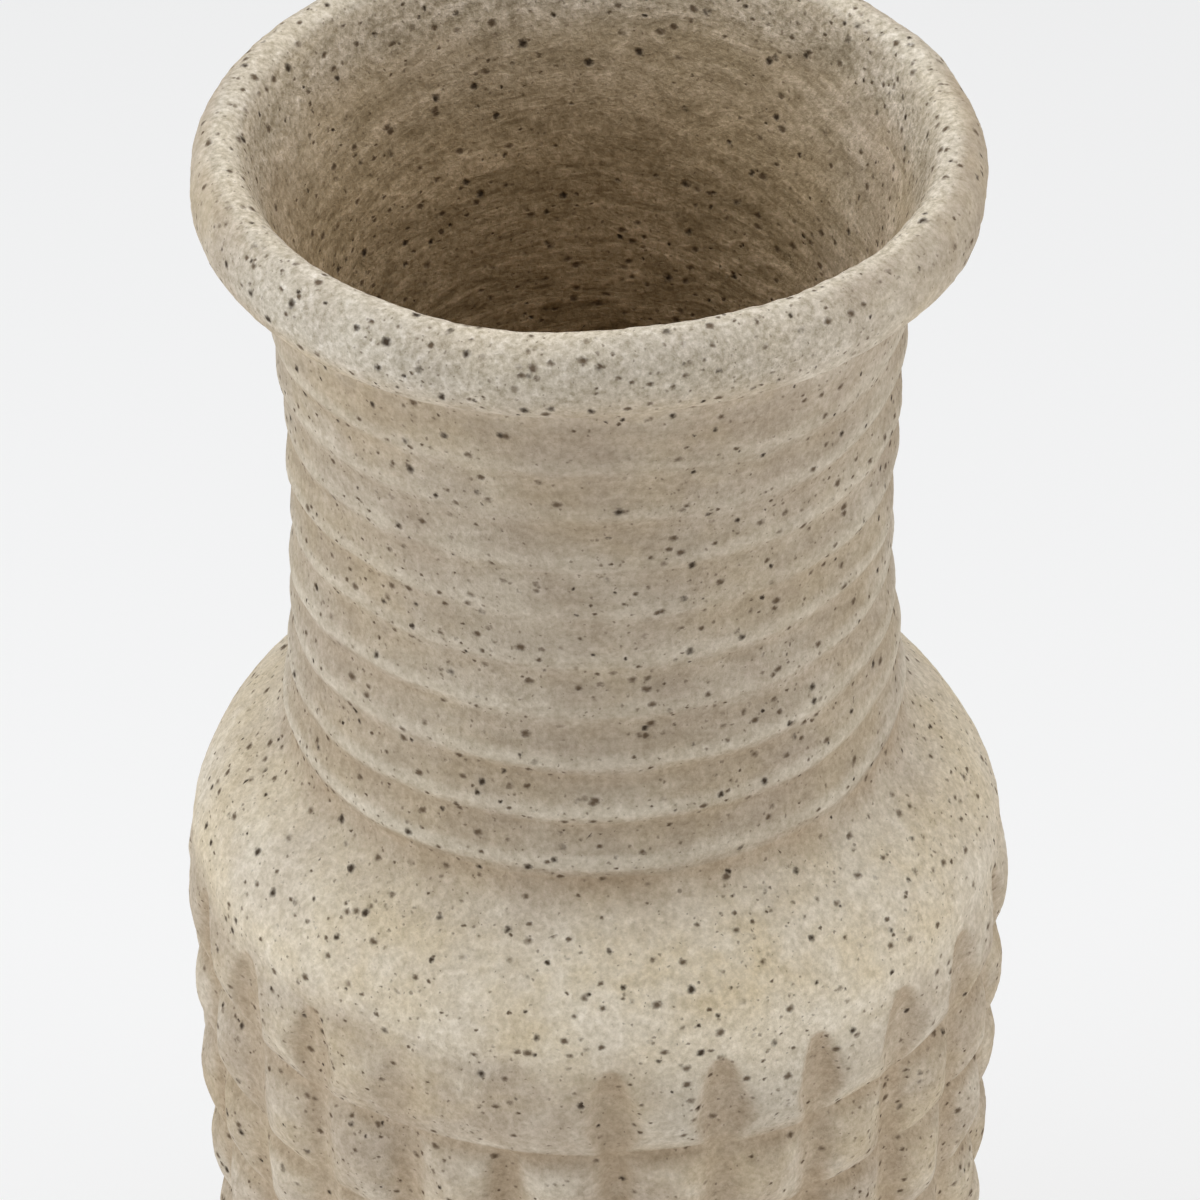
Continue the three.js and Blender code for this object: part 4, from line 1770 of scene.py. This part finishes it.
    def close(self, piece: bpy.types.Object, section: Section, clay: bpy.types.Material) -> bpy.types.Object:
        """Closes a section's bevelled ends, names it and dresses it.

        Args:
            piece: The open section.
            section: Which section it is.
            clay: The finish.

        Returns:
            The piece.
        """
        rename(piece, f"clay_{section.value}")
        order = list(Section).index(section)
        for joint in (order - 1, order):
            if 0 <= joint < len(self.inside_joints):
                self.bridge(piece, self.inside_joints[joint])
        finish_piece(piece, clay, Body.POT, "clay", section.value)
        return piece

    def bridge(self, piece: bpy.types.Object, height: float) -> None:
        """Bridges the open loops at a joint.

        Args:
            piece: The open section.
            height: Height of the joint at the inside of the wall.
        """
        select_only(piece)
        with edit_mode():
            bpy.ops.mesh.select_mode(type="EDGE")
            bpy.ops.mesh.select_all(action="SELECT")
            bpy.ops.mesh.region_to_loop()
        vertices = piece.data.vertices
        for edge in piece.data.edges:
            if edge.select and abs(vertices[edge.vertices[0]].co.z - height) > self.joint_reach:
                edge.select = False
        with edit_mode():
            bpy.ops.mesh.mark_sharp()
            bpy.ops.mesh.bridge_edge_loops()


@dataclass
class DrainPlug:
    """The rubber stopper in the drain hole, with a flange and a knob."""

    shank_radius: float = 13.7 * MM
    shank_taper: float = 1.4 * MM
    tip_chamfer: float = 1.0 * MM
    tip_flat: float = 0.6
    flange_thickness: float = 5.0 * MM
    flange_round: float = 1.5 * MM
    round_steps: int = 5
    stem_radius: float = 5.0 * MM
    stem_height: float = 6.0 * MM
    stem_cove: tuple[Point, ...] = ((2.0 * MM, 0.0), (0.5 * MM, 0.6 * MM), (0.0, 2.0 * MM))
    knob_radius: float = 9.0 * MM
    knob_height: float = 8.0 * MM
    knob_underside: float = -56.0
    knob_steps: int = 12
    facets: int = 96
    slices: int = 4

    def outline(self) -> list[Point]:
        """Draws the stopper's outline from the axis below to the axis above.

        Returns:
            Radius and height of each point.
        """
        low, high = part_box("drain_plug")
        top_z = high.z - self.knob_height - self.stem_height
        flange_z = top_z - self.flange_thickness
        tip = self.shank_radius - self.shank_taper
        points = [(0.0, low.z), (self.tip_flat * tip, low.z)]
        points += [(tip - self.tip_chamfer, low.z), (tip, low.z + self.tip_chamfer)]
        rounding = self.flange_round
        edge = 0.5 * (high.x - low.x) - rounding
        points += [(self.shank_radius, flange_z), (edge, flange_z)]
        for centre_z, start in ((flange_z + rounding, -90.0), (top_z - rounding, 0.0)):
            for angle in np.radians(steps_to(start, start + 90.0, self.round_steps)):
                points.append((edge + rounding * math.cos(angle), centre_z + rounding * math.sin(angle)))
        points += [(self.stem_radius + out, top_z + up) for out, up in self.stem_cove]
        half = 0.5 * self.knob_height
        for angle in np.radians(np.linspace(self.knob_underside, 90.0, self.knob_steps + 1))[:-1]:
            points.append((self.knob_radius * math.cos(angle), high.z - half + half * math.sin(angle)))
        return points + [(0.0, high.z)]

    def build(self, rubber: bpy.types.Material) -> bpy.types.Object:
        """Models and dresses the stopper.

        Args:
            rubber: The finish.

        Returns:
            The piece.
        """
        plug = trace_outline("rubber_plug", self.outline(), 0.0, closed=False)
        spin_outline(plug, self.facets // self.slices, self.slices)
        finish_piece(plug, rubber, Body.PLUG, "plug_rubber", "drain_plug")
        return plug


@dataclass
class FeltFeet:
    """The felt pads under the foot ring."""

    count: int = 4
    edge: float = 0.6 * MM
    bulge: float = 1.008
    fuzz_grain: float = 2.0 * MM
    fuzz: float = 0.25 * MM
    facets: int = 64
    slices: int = 4

    def build(self, felt: bpy.types.Material) -> list[bpy.types.Object]:
        """Models one pad, copies it to its places and dresses the copies.

        Args:
            felt: The finish.

        Returns:
            The pads.
        """
        pattern = self.model()
        pads = []
        for number in range(1, self.count + 1):
            node = f"felt_pad_{number}"
            low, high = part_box(node)
            select_only(pattern)
            bpy.ops.object.duplicate(linked=False)
            pad = bpy.context.active_object
            rename(pad, f"felt_foot_{number}")
            bpy.ops.transform.translate(value=(0.5 * (low.x + high.x), 0.5 * (low.y + high.y), 0.0))
            bpy.ops.object.transform_apply(location=True, rotation=True, scale=True)
            Unevenness(f"felt_fuzz_{number}", self.fuzz_grain, self.fuzz).roughen(pad)
            apply_modifiers(pad)
            finish_piece(pad, felt, Body.POT, "felt", node)
            pads.append(pad)
        bpy.data.objects.remove(pattern)
        return pads

    def model(self) -> bpy.types.Object:
        """Models one pad round the pot's axis, at the size of the first solid.

        Returns:
            The pad.
        """
        low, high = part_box("felt_pad_1")
        radius = 0.5 * (high.x - low.x)
        outline = [(0.0, low.z), (0.5 * radius, low.z), (radius - self.edge, low.z)]
        outline += [(radius - 0.2 * self.edge, low.z + 0.3 * self.edge), (radius, low.z + self.edge)]
        outline += [(radius * self.bulge, 0.5 * (low.z + high.z)), (radius, high.z - 0.5 * self.edge)]
        outline += [(radius - 0.5 * self.edge, high.z), (0.5 * radius, high.z), (0.0, high.z)]
        pad = trace_outline("felt_pattern", outline, 0.0, closed=False)
        spin_outline(pad, self.facets // self.slices, self.slices)
        return pad


@dataclass(frozen=True)
class Softbox:
    """A softbox that faces the pot, out of the camera's sight, with its power in watts."""

    name: str
    place: Place
    size: Point
    power: float
    colour: Place = (1.0, 1.0, 1.0)
    target: Place = (0.0, 0.0, 0.4)

    def hang(self) -> None:
        """Hangs the softbox."""
        bpy.ops.object.light_add(type="AREA", location=self.place)
        light = bpy.context.active_object
        light.name = self.name
        light.data.shape = "RECTANGLE"
        light.data.size, light.data.size_y = self.size
        light.data.energy = self.power
        light.data.color = self.colour
        aim = Vector(self.target) - Vector(self.place)
        light.rotation_euler = aim.to_track_quat("-Z", "Y").to_euler()
        light.visible_camera = False


@dataclass
class Studio:
    """A plain pale floor, soft light from both sides, above and in front, and the camera."""

    softboxes: tuple[Softbox, ...] = (
        Softbox("left_softbox", (-1.9, -0.2, 1.25), (1.6, 2.0), 26.5, (0.94, 1.0, 1.06)),
        Softbox("right_softbox", (1.9, -0.2, 1.25), (1.6, 2.0), 18.5, (0.965, 1.0, 1.03)),
        Softbox("top_softbox", (0.0, 0.25, 2.6), (1.8, 1.8), 30.0),
        Softbox("front_softbox", (0.0, -2.6, 0.4), (2.4, 0.6), 11.0),
    )
    white: Colour = (1.0, 1.0, 1.0, 1.0)
    sky: float = 0.135
    backdrop: float = 0.9
    floor_size: float = 14.0
    floor_grey: Colour = (0.3, 0.3, 0.3, 1.0)
    floor_glow: float = 0.643
    camera_place: Place = (0.0025, -2.001, 1.8712)
    camera_pitch: float = 35.94
    camera_roll: float = -0.59
    lens: float = 205.55
    sensor_width: float = 36.0
    sight: float = 100.0

    def build(self) -> None:
        """Makes the floor, the lights and the camera."""
        self.floor()
        for softbox in self.softboxes:
            softbox.hang()
        self.room()
        bpy.context.scene.view_settings.view_transform = "Standard"
        self.camera()

    def room(self) -> None:
        """Closes the studio with a room that lights softly and looks as pale as the floor."""
        world = bpy.data.worlds.new("pale_room")
        world.use_nodes = True
        board = NodeBoard(world.node_tree)
        seen = board.add("ShaderNodeLightPath").outputs["Is Camera Ray"]
        strength = board.math("MULTIPLY_ADD", seen, self.backdrop - self.sky, self.sky)
        walls = world.node_tree.nodes["Background"].inputs
        board.give(walls["Color"], self.white)
        board.give(walls["Strength"], strength)
        bpy.context.scene.world = world

    def floor(self) -> None:
        """Lays the floor."""
        bpy.ops.object.select_all(action="DESELECT")
        bpy.ops.mesh.primitive_plane_add(size=self.floor_size)
        floor = bpy.context.active_object
        floor.name = "pale_floor"
        sheet = Sheet("pale_floor")
        sheet.dress(Base_Color=self.floor_grey, Roughness=1.0, Specular_IOR_Level=0.0)
        sheet.dress(Emission_Color=self.white, Emission_Strength=self.floor_glow)
        floor.data.materials.append(sheet.material)

    def camera(self) -> None:
        """Sets the camera at the photograph's angle."""
        bpy.ops.object.camera_add(location=self.camera_place)
        camera = bpy.context.active_object
        camera.data.lens = self.lens
        camera.data.sensor_width = self.sensor_width
        camera.data.clip_end = self.sight
        tilt = Euler((math.radians(90.0 - self.camera_pitch), 0.0, 0.0)).to_matrix()
        roll = Matrix.Rotation(math.radians(self.camera_roll), 3, "Z")
        camera.rotation_euler = (tilt @ roll).to_euler()
        bpy.context.scene.camera = camera


def main() -> None:
    """Builds the studio and the planter, piece by piece."""
    logging.basicConfig(level=logging.INFO, format="%(name)s: %(message)s")
    Studio().build()
    groups = {Effect.SPECKS: speck_group(), Effect.GRAIN: grain_group(), Effect.PATCHES: patch_group()}
    ClayShell().build(ClayFinish(groups).material())
    DrainPlug().build(RubberFinish(groups).material())
    FeltFeet().build(FeltFinish(groups).material())


if __name__ == "__main__":
    main()
